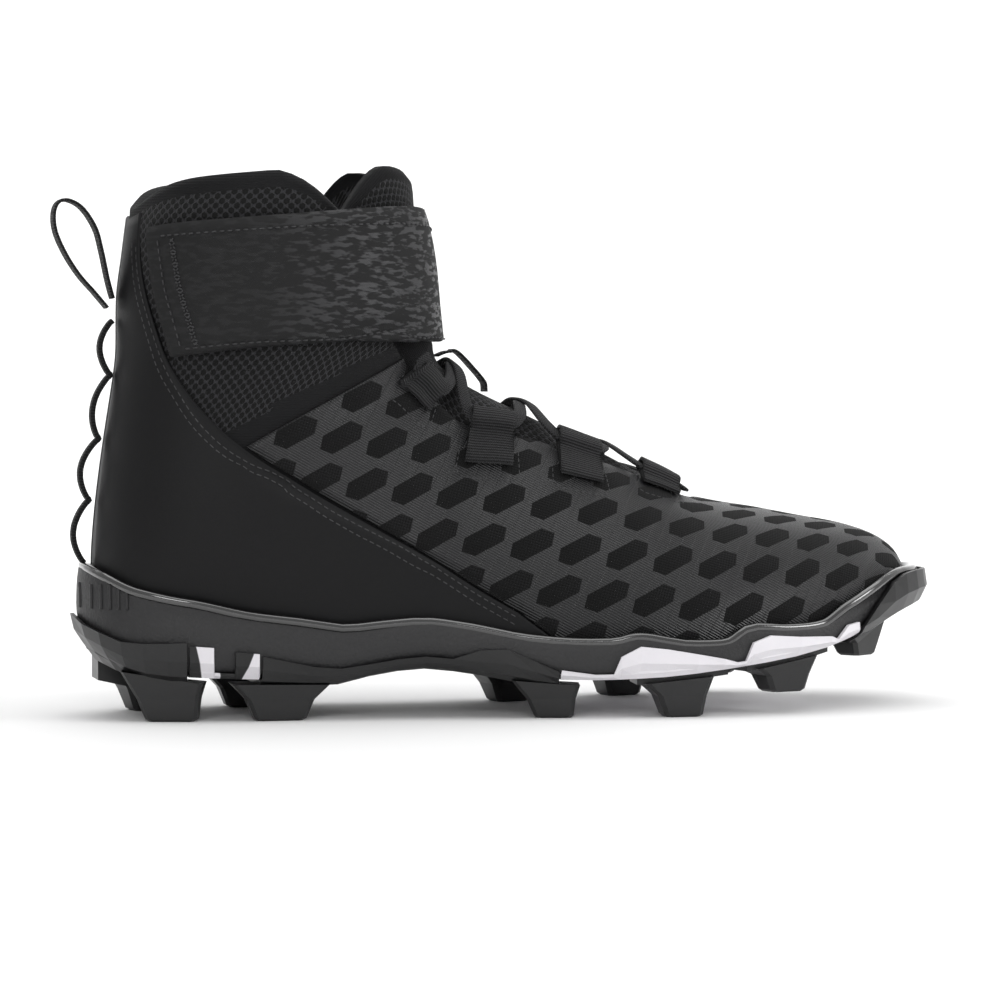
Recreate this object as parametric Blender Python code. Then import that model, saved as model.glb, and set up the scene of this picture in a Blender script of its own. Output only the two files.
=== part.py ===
"""High-top football cleat for the right foot, empty and standing on its studs.

+X runs from heel to toe, -Y is the outer (lateral) side and +Z is up. Lengths are in metres.
The whole shoe hangs on two functions: the sole's outline in plan, and the last, a fan of sections
that runs from the toe over the instep and round the heel to the collar.
"""

import math
from collections import namedtuple
from functools import lru_cache

import bmesh
import bpy
import numpy as np
from mathutils import Matrix, Vector
from mathutils.bvhtree import BVHTree

MM = 0.001

# Overall sizes
SOLE_LENGTH = 296.5 * MM
BALL_WIDTH = 106 * MM
STUD_LENGTH = 10.5 * MM

# Heights above the studs, on the outer face of the upper
TOE_BOX_HEIGHT = 53.5 * MM
INSTEP_HEIGHT = 107.5 * MM
COLLAR_HEIGHT = 167 * MM

# Half widths of the upper behind the ball
HEEL_HALF_WIDTH = 31 * MM
ANKLE_HALF_WIDTH = 36 * MM
COLLAR_HALF_WIDTH = 37.5 * MM

# Sole
ARCH_RISE = 6 * MM
TOE_SPRING = 22 * MM
HEEL_BEVEL = 12.5 * MM
SIDEWALL_HEIGHT = 28 * MM
SIDEWALL_UNDERCUT = 6.5 * MM
FEATHER_INSET = 6.3 * MM
POD_THICKNESS = 2.0 * MM
PLATE_THICKNESS = 1.7 * MM
MIDSOLE_HEEL = 8.5 * MM
MIDSOLE_FORE = 3.6 * MM
MIDSOLE_TOE = 2.4 * MM
LIP_THICKNESS = 1.2 * MM
PANEL_THICKNESS = 1.3 * MM
PLATE_TUCK = 4.5 * MM
INSOLE_THICKNESS = 3.5 * MM

# Upper
WALL_FOOT = 2.0 * MM
WALL_COLLAR = 4.6 * MM
OVERLAY_THICKNESS = 0.8 * MM
QUARTER_THICKNESS = 1.2 * MM
TONGUE_THICKNESS = 3.4 * MM
TONGUE_OVERLAP = 8 * MM
STRAP_THICKNESS = 2.0 * MM

# Webbing and cords
LOOP_WIDTH = 15 * MM
LOOP_LENGTH = 17 * MM
FIRST_LOOP = 25 * MM
LOOP_PITCH = 31 * MM
LOOP_THICKNESS = 0.9 * MM
LOOP_TUNNEL = 2.4 * MM
LACE_WIDTH = 5 * MM
LACE_THICKNESS = 1.5 * MM
LACE_LIFT = 2.2 * MM
PULL_RIBBON_WIDTH = 9 * MM
PULL_RIBBON_THICKNESS = 1.1 * MM
PULL_LOOP_LENGTH = 38 * MM
HEEL_CORD_WIDTH = 5 * MM
HEEL_CORD_THICKNESS = 1.8 * MM
HEEL_CORD_BULGE = 4.2 * MM
TONGUE_RIBBON_WIDTH = 8 * MM
TONGUE_RIBBON_THICKNESS = 0.9 * MM
TONGUE_RIBBON_RISE = 6.5 * MM

# Clearances
GAP = 0.3 * MM
SHELL_GAP = 0.5 * MM
SIDE_GAP = 0.5 * MM
SEAT_GAP = 0.75 * MM
LIP_GAP = 0.8 * MM
INSOLE_CLEARANCE = 1.8 * MM
TONGUE_GAP = 1.0 * MM
STRAP_GAP = 0.6 * MM

LATERAL, MEDIAL = -1, 1
MERGE = 1e-6


@lru_cache(maxsize=None)
def curve_tangents(knots, values):
    """Slopes of the monotone cubic through the points, at each of them."""
    step = np.diff(knots)
    slope = np.diff(values) / step
    tangent = np.zeros(len(knots))
    tangent[0], tangent[-1] = slope[0], slope[-1]
    for i in range(1, len(knots) - 1):
        if slope[i - 1] * slope[i] > 0:
            before = 2 * step[i] + step[i - 1]
            after = step[i] + 2 * step[i - 1]
            tangent[i] = (before + after) / (before / slope[i - 1] + after / slope[i])
    return tangent


def smooth(knots, values, x):
    """Monotone cubic through a table's points."""
    tangent = curve_tangents(tuple(knots), tuple(values))
    knots, values = np.asarray(knots, float), np.asarray(values, float)
    step = np.diff(knots)
    x = np.clip(x, knots[0], knots[-1])
    i = np.clip(np.searchsorted(knots, x) - 1, 0, len(step) - 1)
    t = (x - knots[i]) / step[i]
    rise = step[i] * (tangent[i] * t * (1 - t) ** 2 - tangent[i + 1] * t * t * (1 - t))
    return values[i] + (values[i + 1] - values[i]) * t * t * (3 - 2 * t) + rise


def column(table, name):
    return [getattr(row, name) for row in table]


# Sole outline in plan. x is a share of the sole's length, and the sides are shares of the ball's width.
Outline = namedtuple("Outline", "x lateral medial")
OUTLINE = [
    Outline(0.000, 0.000, 0.000),
    Outline(0.030, 0.212, 0.212),
    Outline(0.100, 0.306, 0.311),
    Outline(0.180, 0.333, 0.335),
    Outline(0.280, 0.345, 0.330),
    Outline(0.380, 0.372, 0.303),
    Outline(0.460, 0.418, 0.312),
    Outline(0.540, 0.468, 0.360),
    Outline(0.620, 0.502, 0.425),
    Outline(0.690, 0.509, 0.472),
    Outline(0.760, 0.486, 0.480),
    Outline(0.830, 0.434, 0.448),
    Outline(0.900, 0.338, 0.370),
    Outline(0.950, 0.228, 0.268),
    Outline(0.985, 0.104, 0.158),
    Outline(1.000, -0.030, 0.030),
]

# Rocker of the underside along the sole: shares of arch rise, toe spring and heel bevel.
Rocker = namedtuple("Rocker", "x arch spring bevel")
ROCKER = [
    Rocker(0.000, 0.00, 0.00, 1.00),
    Rocker(0.017, 0.05, 0.00, 0.72),
    Rocker(0.057, 0.15, 0.00, 0.24),
    Rocker(0.107, 0.27, 0.00, 0.04),
    Rocker(0.187, 0.20, 0.00, 0.00),
    Rocker(0.267, 0.15, 0.00, 0.00),
    Rocker(0.327, 0.75, 0.00, 0.00),
    Rocker(0.372, 1.00, 0.00, 0.00),
    Rocker(0.417, 0.78, 0.00, 0.00),
    Rocker(0.487, 0.18, 0.00, 0.00),
    Rocker(0.547, 0.00, 0.00, 0.00),
    Rocker(0.627, 0.00, 0.03, 0.00),
    Rocker(0.707, 0.00, 0.14, 0.00),
    Rocker(0.787, 0.00, 0.28, 0.00),
    Rocker(0.847, 0.00, 0.45, 0.00),
    Rocker(0.897, 0.00, 0.66, 0.00),
    Rocker(0.947, 0.00, 0.90, 0.00),
    Rocker(1.000, 0.00, 1.06, 0.00),
]

# Top edge of the midsole's side, as a share of the side wall's full height at the heel.
Lip = namedtuple("Lip", "x height")
LIP = [
    Lip(0.000, 1.00),
    Lip(0.047, 1.03),
    Lip(0.107, 0.98),
    Lip(0.177, 0.85),
    Lip(0.242, 0.77),
    Lip(0.327, 0.62),
    Lip(0.437, 0.57),
    Lip(0.577, 0.55),
    Lip(0.602, 0.60),
    Lip(0.667, 0.46),
    Lip(0.707, 0.42),
    Lip(0.737, 0.55),
    Lip(0.787, 0.46),
    Lip(0.832, 0.40),
    Lip(0.862, 0.52),
    Lip(0.917, 0.60),
    Lip(1.000, 0.46),
]

# Side wall: how far each level of it stands in from the outline, as a share of the undercut.
Wall = namedtuple("Wall", "level inset")
WALL = [
    Wall(0.00, 1.0),
    Wall(0.14, 0.42),
    Wall(0.34, 0.08),
    Wall(0.52, 0.0),
    Wall(0.8, 0.04),
    Wall(1.0, 0.15),
]

# Sections of the last, toe to collar. x is a share of the sole's length; a level counts 1 at the
# toe box, 2 at the instep and 3 at the collar, and 0 is the footbed. Widest is the share of the
# section where it is widest, fullness how far that bulges past the feather line, heel, ankle and
# collar are shares of those half widths, and power is the superellipse's.
Section = namedtuple("Section", "base_x base ridge_x ridge widest fullness heel ankle collar centre power")
SECTIONS = [
    Section(0.855, 0.00, 0.970, 0.580, 0.03, 1.000, 0, 0, 0, 0.028, 1.50),
    Section(0.853, 0.00, 0.975, 0.665, 0.03, 1.000, 0, 0, 0, 0.028, 1.60),
    Section(0.847, 0.00, 0.966, 0.762, 0.06, 1.005, 0, 0, 0, 0.028, 1.75),
    Section(0.838, 0.00, 0.943, 0.860, 0.10, 1.010, 0, 0, 0, 0.027, 1.95),
    Section(0.825, 0.00, 0.898, 0.945, 0.15, 1.015, 0, 0, 0, 0.026, 2.12),
    Section(0.802, 0.00, 0.843, 1.000, 0.20, 1.025, 0, 0, 0, 0.023, 2.22),
    Section(0.767, 0.00, 0.790, 1.055, 0.24, 1.035, 0, 0, 0, 0.018, 2.22),
    Section(0.729, 0.00, 0.744, 1.095, 0.26, 1.035, 0, 0, 0, 0.012, 2.20),
    Section(0.689, 0.00, 0.701, 1.150, 0.27, 1.035, 0, 0, 0, 0.008, 2.10),
    Section(0.639, 0.00, 0.651, 1.300, 0.27, 1.035, 0, 0, 0, 0.006, 2.05),
    Section(0.589, 0.00, 0.603, 1.440, 0.27, 1.035, 0, 0.900, 0, 0.005, 2.00),
    Section(0.539, 0.00, 0.557, 1.565, 0.28, 1.035, 0, 0.950, 0, 0.004, 1.95),
    Section(0.483, 0.00, 0.510, 1.690, 0.29, 1.035, 0, 0.935, 0, 0.004, 1.95),
    Section(0.423, 0.00, 0.467, 1.800, 0.31, 1.035, 0, 0.935, 0, 0.004, 1.95),
    Section(0.356, 0.00, 0.437, 1.890, 0.34, 1.035, 0, 0.950, 0, 0.004, 1.95),
    Section(0.283, 0.00, 0.420, 1.960, 0.38, 1.035, 0, 0.975, 0, 0.002, 2.00),
    Section(0.202, 0.00, 0.412, 2.010, 0.42, 1.020, 0, 0.995, 0, 0, 2.05),
    Section(0.128, 0.00, 0.409, 2.040, 0.44, 1.015, 0.20, 0.838, 0, 0, 2.10),
    Section(0.070, 0.00, 0.408, 2.060, 0.44, 1.010, 0.40, 0.671, 0, 0, 2.15),
    Section(0.0300, 0.00, 0.407, 2.080, 0.43, 1.005, 0.50, 0.579, 0, 0, 2.20),
    Section(0.0221, 0.300, 0.407, 2.100, 0.42, 1.000, 0.50, 0.569, 0, 0, 2.20),
    Section(0.0174, 0.560, 0.406, 2.120, 0.41, 1.000, 0.60, 0.473, 0, 0, 2.25),
    Section(0.0198, 0.870, 0.405, 2.145, 0.41, 1.000, 0.60, 0.473, 0, 0, 2.25),
    Section(0.0295, 1.350, 0.404, 2.185, 0.43, 1.000, 0.40, 0.646, 0, 0, 2.20),
    Section(0.0446, 1.760, 0.403, 2.240, 0.45, 1.000, 0.10, 0.904, 0, 0, 2.15),
    Section(0.0513, 2.050, 0.401, 2.320, 0.47, 1.000, 0, 0.80, 0.20, 0, 2.15),
    Section(0.0520, 2.330, 0.397, 2.530, 0.48, 1.000, 0, 0.40, 0.60, 0, 2.15),
    Section(0.0587, 2.610, 0.389, 2.760, 0.49, 1.000, 0, 0, 1.00, 0, 2.15),
    Section(0.0660, 2.870, 0.379, 3.000, 0.50, 1.000, 0, 0, 1.02, 0, 2.15),
]
HEEL_CORNER_ROW = 20.0
THROAT_ROW = 7.45
COLLAR_ROW = len(SECTIONS) - 1.0
COLLAR_BOW = 0.045

# The throat's edge: its distance from the last's own middle, as a share of the ball's width.
ThroatEdge = namedtuple("ThroatEdge", "row half_width")
THROAT_EDGE = [
    ThroatEdge(7.0, 0.040),
    ThroatEdge(7.45, 0.085),
    ThroatEdge(8.0, 0.140),
    ThroatEdge(8.6, 0.178),
    ThroatEdge(9.2, 0.200),
    ThroatEdge(10.0, 0.212),
    ThroatEdge(12.0, 0.215),
    ThroatEdge(16.0, 0.216),
    ThroatEdge(20.0, 0.220),
    ThroatEdge(22.0, 0.228),
    ThroatEdge(23.0, 0.240),
    ThroatEdge(24.0, 0.262),
    ThroatEdge(25.0, 0.285),
    ThroatEdge(26.0, 0.305),
    ThroatEdge(27.0, 0.325),
    ThroatEdge(28.0, 0.338),
]

# Edges that cross the sections, as a share of each section from its base to its ridge.
Edge = namedtuple("Edge", "row share")
QUARTER_FIRST_ROW = 11.4
QUARTER_LAST_ROW = 27.7
QUARTER_EDGE = [
    Edge(0.0, 0.30),
    Edge(7.45, 0.28),
    Edge(11.4, 0.075),
    Edge(12.0, 0.155),
    Edge(13.0, 0.235),
    Edge(14.0, 0.322),
    Edge(15.0, 0.400),
    Edge(16.0, 0.450),
    Edge(17.0, 0.489),
    Edge(18.0, 0.519),
    Edge(19.0, 0.533),
    Edge(20.0, 0.530),
    Edge(21.0, 0.493),
    Edge(22.0, 0.414),
    Edge(23.0, 0.280),
    Edge(24.0, 0.165),
    Edge(25.0, 0.103),
    Edge(26.0, 0.062),
    Edge(27.0, 0.030),
    Edge(28.0, 0.020),
]
QUARTER_SEAM = 0.010
QUARTER_SEAM_ROWS = 0.10
OVERLAY_LAST_ROW = 22.1
STRAP_FIRST_ROW = 24.95
STRAP_LAST_ROW = 27.35
STRAP_END = [Edge(24.95, 0.135), Edge(26.2, 0.090), Edge(27.35, 0.055)]
# Height of the strap's lower edge, as a share of the collar's, by its share of the way to the front.
LowEdge = namedtuple("LowEdge", "way height")
STRAP_LOW_EDGE = [LowEdge(0.0, 0.655), LowEdge(0.35, 0.680), LowEdge(0.7, 0.686), LowEdge(1.0, 0.684)]

# The collar's and the tongue's corners dip where they meet at the top.
CORNER_DIP = 0.8
CORNER_DIP_FIRST_ROW = 26.0
CORNER_DIP_REACH = 0.15


def underside(x):
    """Height of the pods' underside at x."""
    share = np.asarray(x, float) / SOLE_LENGTH
    rise = ARCH_RISE * smooth(column(ROCKER, "x"), column(ROCKER, "arch"), share)
    rise = rise + TOE_SPRING * smooth(column(ROCKER, "x"), column(ROCKER, "spring"), share)
    rise = rise + HEEL_BEVEL * smooth(column(ROCKER, "x"), column(ROCKER, "bevel"), share)
    return STUD_LENGTH + rise


def midsole_floor(x):
    """Underside of the midsole, above pods and plate."""
    return underside(x) + POD_THICKNESS + PLATE_THICKNESS + 2 * GAP


def footbed(x):
    """Top of the midsole inside the shoe. It flattens the heel's bevel and the arch that show outside."""
    share = np.asarray(x, float) / SOLE_LENGTH
    bevel = HEEL_BEVEL * smooth(column(ROCKER, "x"), column(ROCKER, "bevel"), share)
    arch = ARCH_RISE * smooth(column(ROCKER, "x"), column(ROCKER, "arch"), share)
    depths = [MIDSOLE_HEEL, MIDSOLE_HEEL * 0.76, MIDSOLE_FORE, MIDSOLE_FORE, MIDSOLE_TOE]
    return midsole_floor(x) - 0.75 * bevel - 0.5 * arch + smooth([0, 0.3, 0.6, 0.85, 1], depths, share)


def lip_height(x):
    share = np.asarray(x, float) / SOLE_LENGTH
    return underside(x) + SIDEWALL_HEIGHT * smooth(column(LIP, "x"), column(LIP, "height"), share)


def station(share):
    """The outline's own parameter at a share of the length. It runs finer round heel and toe."""
    return np.arccos(1 - 2 * np.asarray(share, float)) / math.pi


def outline_point(s, side):
    x = SOLE_LENGTH * (1 - np.cos(math.pi * np.asarray(s, float))) / 2
    name = "lateral" if side == LATERAL else "medial"
    return x, side * BALL_WIDTH * smooth(station(column(OUTLINE, "x")), column(OUTLINE, name), s)


def rim_point(s, side, inset, z):
    """A point on the outline's side at one height, moved in from it by inset."""
    step = 1e-3
    s = np.asarray(s, float)
    x0, y0 = outline_point(np.abs(s - step), side)
    x1, y1 = outline_point(1 - np.abs(1 - s - step), side)
    y0 = np.where(s < step, -y0, y0)
    x, y = outline_point(s, side)
    tip_y = outline_point(1.0, side)[1]
    y1 = np.where(s > 1 - step, 2 * tip_y - y1, y1)
    tangent_x, tangent_y = x1 - x0, y1 - y0
    length = np.hypot(tangent_x, tangent_y)
    inward_x = side * tangent_y / length
    inward_y = -side * tangent_x / length
    return np.stack([x + inset * inward_x, y + inset * inward_y, z + 0 * x], -1)


def wall_inset(level):
    return SIDEWALL_UNDERCUT * smooth(column(WALL, "level"), column(WALL, "inset"), level)


def wall_point(s, side, z, outward=0.0):
    """A point on the sole's side wall at height z, moved outward from it."""
    x, _ = outline_point(s, side)
    level = np.clip((z - underside(x)) / (lip_height(x) - underside(x)), 0, 1)
    return rim_point(s, side, wall_inset(level) - outward, z)


@lru_cache(maxsize=None)
def feather_line(side):
    return rim_point(np.linspace(0, 1, 241), side, FEATHER_INSET, 0.0)


def floor_corner(s, side, height_of, outward):
    """Where a floor meets the side wall, at the height that the floor has right there."""
    x, _ = outline_point(s, side)
    point = wall_point(s, side, height_of(x), outward)
    point[2] = height_of(point[0])
    return point


def feather_offset(x, side):
    """Signed y of the feather line, where the upper meets the footbed, at x."""
    line = feather_line(side)
    return np.interp(x, line[:, 0], line[:, 1])


def level_height(level):
    """Height of a level: 1 at the toe box, 2 at the instep and 3 at the collar."""
    return STUD_LENGTH + np.interp(level, [0, 1, 2, 3], [0, TOE_BOX_HEIGHT, INSTEP_HEIGHT, COLLAR_HEIGHT])


def section_values(u):
    rows = np.arange(len(SECTIONS))
    return {name: smooth(rows, column(SECTIONS, name), u) for name in Section._fields}


def section_frame(u):
    """Base point, ridge point and shape of the section at row u."""
    c = section_values(u)
    base_x = SOLE_LENGTH * c["base_x"]
    base_z = np.maximum(footbed(base_x) + SEAT_GAP, level_height(c["base"]))
    ridge_x, ridge_z = SOLE_LENGTH * c["ridge_x"], level_height(c["ridge"])
    centre = BALL_WIDTH * c["centre"]
    own = HEEL_HALF_WIDTH * c["heel"] + ANKLE_HALF_WIDTH * c["ankle"] + COLLAR_HALF_WIDTH * c["collar"]
    return c, base_x, base_z, ridge_x, ridge_z, centre, own


def section_widths(u, side):
    """Greatest half width on one side, and the angle below it where the section starts."""
    c, base_x, _, _, _, centre, own = section_frame(u)
    feather = side * (feather_offset(base_x, side) - centre)
    closed = np.asarray(u, float) >= HEEL_CORNER_ROW
    feather = np.where(closed | (feather < 0), 0.0, feather)
    width = np.maximum(feather * c["fullness"], own)
    foot = np.clip(feather / width, 0, 0.995)
    return width, np.arccos(foot ** (c["power"] / 2))


def section_point(u, side, angle, start):
    """Point of the last on row u. The angle runs from -start at the base to a right angle at the ridge."""
    c, base_x, base_z, ridge_x, ridge_z, centre, _ = section_frame(u)
    width, _ = section_widths(u, side)
    power = 2 / c["power"]
    rise = np.abs(np.sin(angle)) ** power
    below = c["widest"] * (1 - rise / np.maximum(np.sin(start), 1e-6) ** power)
    above = c["widest"] + (1 - c["widest"]) * rise
    share = np.where(angle < 0, below, above)
    bow = COLLAR_HEIGHT * COLLAR_BOW * np.clip(u - (COLLAR_ROW - 1), 0, 1) * (1 - (2 * share - 1) ** 8)
    x = base_x + share * (ridge_x - base_x)
    z = base_z + share * (ridge_z - base_z) + bow
    y = centre + side * width * np.abs(np.cos(angle)) ** power
    return np.stack([x, y, z], -1)


def last_surface(u, v):
    """Point of the last at row u; v runs from 0, lateral base, over 1, the ridge, to 2, medial base."""
    u, v = np.broadcast_arrays(np.asarray(u, float), np.asarray(v, float))
    v = np.where(v < 0, v + 2, np.where(v > 2, v - 2, v))
    lateral, medial = v <= 1, v > 1
    result = np.zeros(u.shape + (3,))
    for side, chosen, share in ((LATERAL, lateral, v), (MEDIAL, medial, 2 - v)):
        if chosen.any():
            _, start = section_widths(u[chosen], side)
            angle = -start + share[chosen] * (math.pi / 2 + start)
            result[chosen] = section_point(u[chosen], side, angle, start)
    return result


def last_point(u, v, offset=0.0):
    """Point of the last, moved along its outward normal by offset."""
    u, v = np.broadcast_arrays(np.asarray(u, float), np.asarray(v, float))
    point = last_surface(u, v)
    step_u, step_v = 0.02, 0.004
    open_base = u < HEEL_CORNER_ROW
    v_low = np.where(open_base & (v < step_v), v, v - step_v)
    v_high = np.where(open_base & (v > 2 - step_v), v, v + step_v)
    along = last_surface(np.minimum(u + step_u, COLLAR_ROW), v) - last_surface(np.maximum(u - step_u, 0), v)
    across = last_surface(u, v_high) - last_surface(u, v_low)
    normal = np.cross(across, along)
    normal /= np.maximum(np.linalg.norm(normal, axis=-1, keepdims=True), 1e-12)
    middle = 0.5 * (last_surface(u, 1.0 + 0 * v) + last_surface(u, 0 * v))
    middle[..., 1] = BALL_WIDTH * section_values(u)["centre"]
    outward = np.sum(normal * (point - middle), -1, keepdims=True)
    return point + np.where(outward < 0, -normal, normal) * np.asarray(offset)[..., None]


def v_of_share(u, side, share):
    """The v that lies at a share of the section on row u."""
    c = section_values(u)
    _, start = section_widths(u, side)
    above = np.clip((share - c["widest"]) / (1 - c["widest"]), 0, 1)
    low = np.clip(1 - share / c["widest"], 0, 1)
    angle_above = np.arcsin(above ** (c["power"] / 2))
    angle_below = -np.arcsin(np.clip(low ** (c["power"] / 2) * np.sin(start), 0, 1))
    angle = np.where(share > c["widest"], angle_above, angle_below)
    v = (angle + start) / (math.pi / 2 + start)
    return v if side == LATERAL else 2 - v


def edge_v(edge, u, side):
    return float(v_of_share(u, side, smooth(column(edge, "row"), column(edge, "share"), u)))


def throat_v(u, side):
    """The v of the throat's edge on row u."""
    width, start = section_widths(u, side)
    half = BALL_WIDTH * smooth(column(THROAT_EDGE, "row"), column(THROAT_EDGE, "half_width"), u)
    angle = np.arccos(np.clip(half / width, 0, 1) ** (section_values(u)["power"] / 2))
    v = float((angle + start) / (math.pi / 2 + start))
    return v if side == LATERAL else 2 - v


def dipped_row(u, v):
    """Row u, lowered near the throat's edge at the top, where collar and tongue part."""
    rise = np.clip((u - CORNER_DIP_FIRST_ROW) / (COLLAR_ROW - CORNER_DIP_FIRST_ROW), 0, 1)
    reach = np.minimum(np.abs(v - throat_v(u, LATERAL)), np.abs(v - throat_v(u, MEDIAL))) / CORNER_DIP_REACH
    return u - CORNER_DIP * rise * np.clip(1 - reach, 0, 1) ** 1.5


def wall_thickness(u):
    """The bootie is thin over the foot and padded round the ankle."""
    return smooth([0, 14, 22, 25, 28], [WALL_FOOT, WALL_FOOT, WALL_FOOT * 1.4, WALL_COLLAR, WALL_COLLAR], u)


def paint(obj, colour, roughness, metallic=0.0):
    material = bpy.data.materials.new(obj.name)
    material.use_nodes = True
    shader = material.node_tree.nodes["Principled BSDF"]
    shader.inputs["Base Color"].default_value = (*colour, 1)
    shader.inputs["Roughness"].default_value = roughness
    shader.inputs["Metallic"].default_value = metallic
    obj.data.materials.append(material)


BLACK_SYNTHETIC = ((0.020, 0.020, 0.021), 0.55)
BLACK_MESH = ((0.014, 0.014, 0.015), 0.85)
BLACK_OVERLAY = ((0.045, 0.045, 0.047), 0.60)
BLACK_FOAM = ((0.035, 0.034, 0.036), 0.45)
BLACK_RUBBER = ((0.040, 0.038, 0.042), 0.40)
WHITE_PLATE = ((0.80, 0.79, 0.82), 0.40)
BLACK_WEBBING = ((0.040, 0.040, 0.042), 0.80)


def add_object(name, mesh, finish, shoe):
    obj = bpy.data.objects.new(name, mesh)
    bpy.context.scene.collection.objects.link(obj)
    obj.parent = shoe
    mesh.shade_smooth()
    mesh.set_sharp_from_angle(angle=math.radians(35))
    paint(obj, *finish)
    return obj


def mesh_of(bm, name):
    bmesh.ops.remove_doubles(bm, verts=bm.verts, dist=MERGE)
    bmesh.ops.dissolve_degenerate(bm, edges=bm.edges, dist=MERGE)
    bmesh.ops.delete(bm, geom=[v for v in bm.verts if not v.link_faces], context="VERTS")
    bmesh.ops.recalc_face_normals(bm, faces=bm.faces)
    if bm.calc_volume(signed=True) < 0:
        bmesh.ops.reverse_faces(bm, faces=bm.faces)
    mesh = bpy.data.meshes.new(name)
    bm.to_mesh(mesh)
    bm.free()
    return mesh


def grid_mesh(name, outer, inner, keep=None):
    """Closed solid between two grids of points. keep marks the cells that have material."""
    rows, columns = outer.shape[0], outer.shape[1]
    keep = np.ones((rows - 1, columns - 1), bool) if keep is None else keep
    bm = bmesh.new()
    tops, bases = [[[bm.verts.new(p) for p in row] for row in grid] for grid in (outer, inner)]
    walls = {}

    def place(vertex):
        return tuple(round(c / MERGE) for c in vertex.co)

    def add_face(corners):
        if len({place(v) for v in corners}) > 2:
            bm.faces.new(corners)

    for i in range(rows - 1):
        for j in range(columns - 1):
            if not keep[i, j]:
                continue
            # The same diagonal on both faces, mirrored past the middle, keeps nested pieces parallel.
            for grid, order in ((tops, 1), (bases, -1)):
                a, b, c, d = grid[i][j], grid[i + 1][j], grid[i + 1][j + 1], grid[i][j + 1]
                halves = [(a, b, d), (b, c, d)] if j >= (columns - 1) / 2 else [(a, b, c), (a, c, d)]
                for half in halves:
                    add_face(half[::order])
            sides = [
                (i > 0 and keep[i - 1, j], (i, j), (i, j + 1)),
                (i < rows - 2 and keep[i + 1, j], (i + 1, j + 1), (i + 1, j)),
                (j > 0 and keep[i, j - 1], (i + 1, j), (i, j)),
                (j < columns - 2 and keep[i, j + 1], (i, j + 1), (i + 1, j + 1)),
            ]
            for joined, a, b in sides:
                if not joined:
                    corners = (tops[a[0]][a[1]], tops[b[0]][b[1]], bases[b[0]][b[1]], bases[a[0]][a[1]])
                    walls.setdefault(frozenset(place(v) for v in corners), []).append(corners)
    # Where a grid closes on itself its two end walls coincide, and neither is made.
    for same in walls.values():
        if len(same) == 1:
            add_face(same[0])
    return mesh_of(bm, name)


def last_grid(rows, columns_of, offset, row_of=None):
    """Grid of points on the last: columns_of gives the v of each column on a row."""
    grid = []
    for u in rows:
        v = np.array(columns_of(u))
        lifted = np.broadcast_to(offset(u), v.shape)
        grid.append(last_point(np.full(len(v), u) if row_of is None else row_of(u, v), v, lifted))
    return np.array(grid)


def row_list(*stops):
    """Rows through each (stop, spacing) after the first stop, with every stop on a row."""
    rows = [stops[0]]
    for stop, spacing in stops[1:]:
        first, count = rows[-1], max(1, round((stop - rows[-1]) / spacing))
        rows += [first + (stop - first) * i / count for i in range(1, count + 1)]
    return rows


def arc(first, last, cells):
    return list(np.linspace(first, last, cells + 1))


# Bootie, quarter panel and film share their rows and columns, so that they nest without touching.
SHELL_ROWS = row_list(
    0.0,
    (THROAT_ROW, 1.07),
    (QUARTER_FIRST_ROW, 1.0),
    (17.0, 1.15),
    (HEEL_CORNER_ROW, 0.6),
    (OVERLAY_LAST_ROW, 0.7),
    (QUARTER_LAST_ROW, 1.15),
    (COLLAR_ROW, 1.0),
)
QUARTER_CELLS = 3
SIDE_CELLS = 5
THROAT_CELLS = 4
THROAT_FIRST_CELL = QUARTER_CELLS + SIDE_CELLS


def shell_columns(u, seam=0.0):
    """Columns of one row: base, quarter's edge, throat's edge, across, and back down the other side."""
    sides = []
    for side in (LATERAL, MEDIAL):
        share = float(smooth(column(QUARTER_EDGE, "row"), column(QUARTER_EDGE, "share"), u)) + seam
        edge, throat = float(v_of_share(u, side, share)), throat_v(u, side)
        base = 0.0 if side == LATERAL else 2.0
        sides.append(arc(base, edge, QUARTER_CELLS) + arc(edge, throat, SIDE_CELLS)[1:])
    lateral, medial = sides
    return lateral + arc(lateral[-1], medial[-1], THROAT_CELLS)[1:-1] + medial[::-1]


def rows_between(first, last):
    return [u for u in SHELL_ROWS if first - 1e-6 <= u <= last + 1e-6]


def rest_on_footbed(grid, rows, columns):
    """Sets the open base of the foot's sections level with the footbed."""
    for i, u in enumerate(rows):
        if u < HEEL_CORNER_ROW:
            for j in columns:
                grid[i, j, 2] = footbed(grid[i, j, 0]) + SEAT_GAP


def close_back(grid, rows, first, last):
    """Above the heel's corner the two base columns are one line down the back."""
    for i, u in enumerate(rows):
        if u >= HEEL_CORNER_ROW:
            middle = (grid[i, first] + grid[i, last]) / 2
            middle[1] = 0.0
            grid[i, first] = grid[i, last] = middle


def make_upper(shoe):
    """The bootie: one hollow wall, open at the collar, down the throat and underneath."""
    rows = SHELL_ROWS
    outer = last_grid(rows, shell_columns, lambda u: 0.0, dipped_row)
    inner = last_grid(rows, shell_columns, lambda u: -wall_thickness(u), dipped_row)
    for grid in (outer, inner):
        rest_on_footbed(grid, rows, (0, -1))
        close_back(grid, rows, 0, -1)
    keep = np.ones((outer.shape[0] - 1, outer.shape[1] - 1), bool)
    open_rows = np.array(rows[:-1]) >= THROAT_ROW
    keep[open_rows, THROAT_FIRST_CELL : THROAT_FIRST_CELL + THROAT_CELLS] = False
    return add_object("upper", grid_mesh("upper", outer, inner, keep), BLACK_MESH, shoe)


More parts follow.
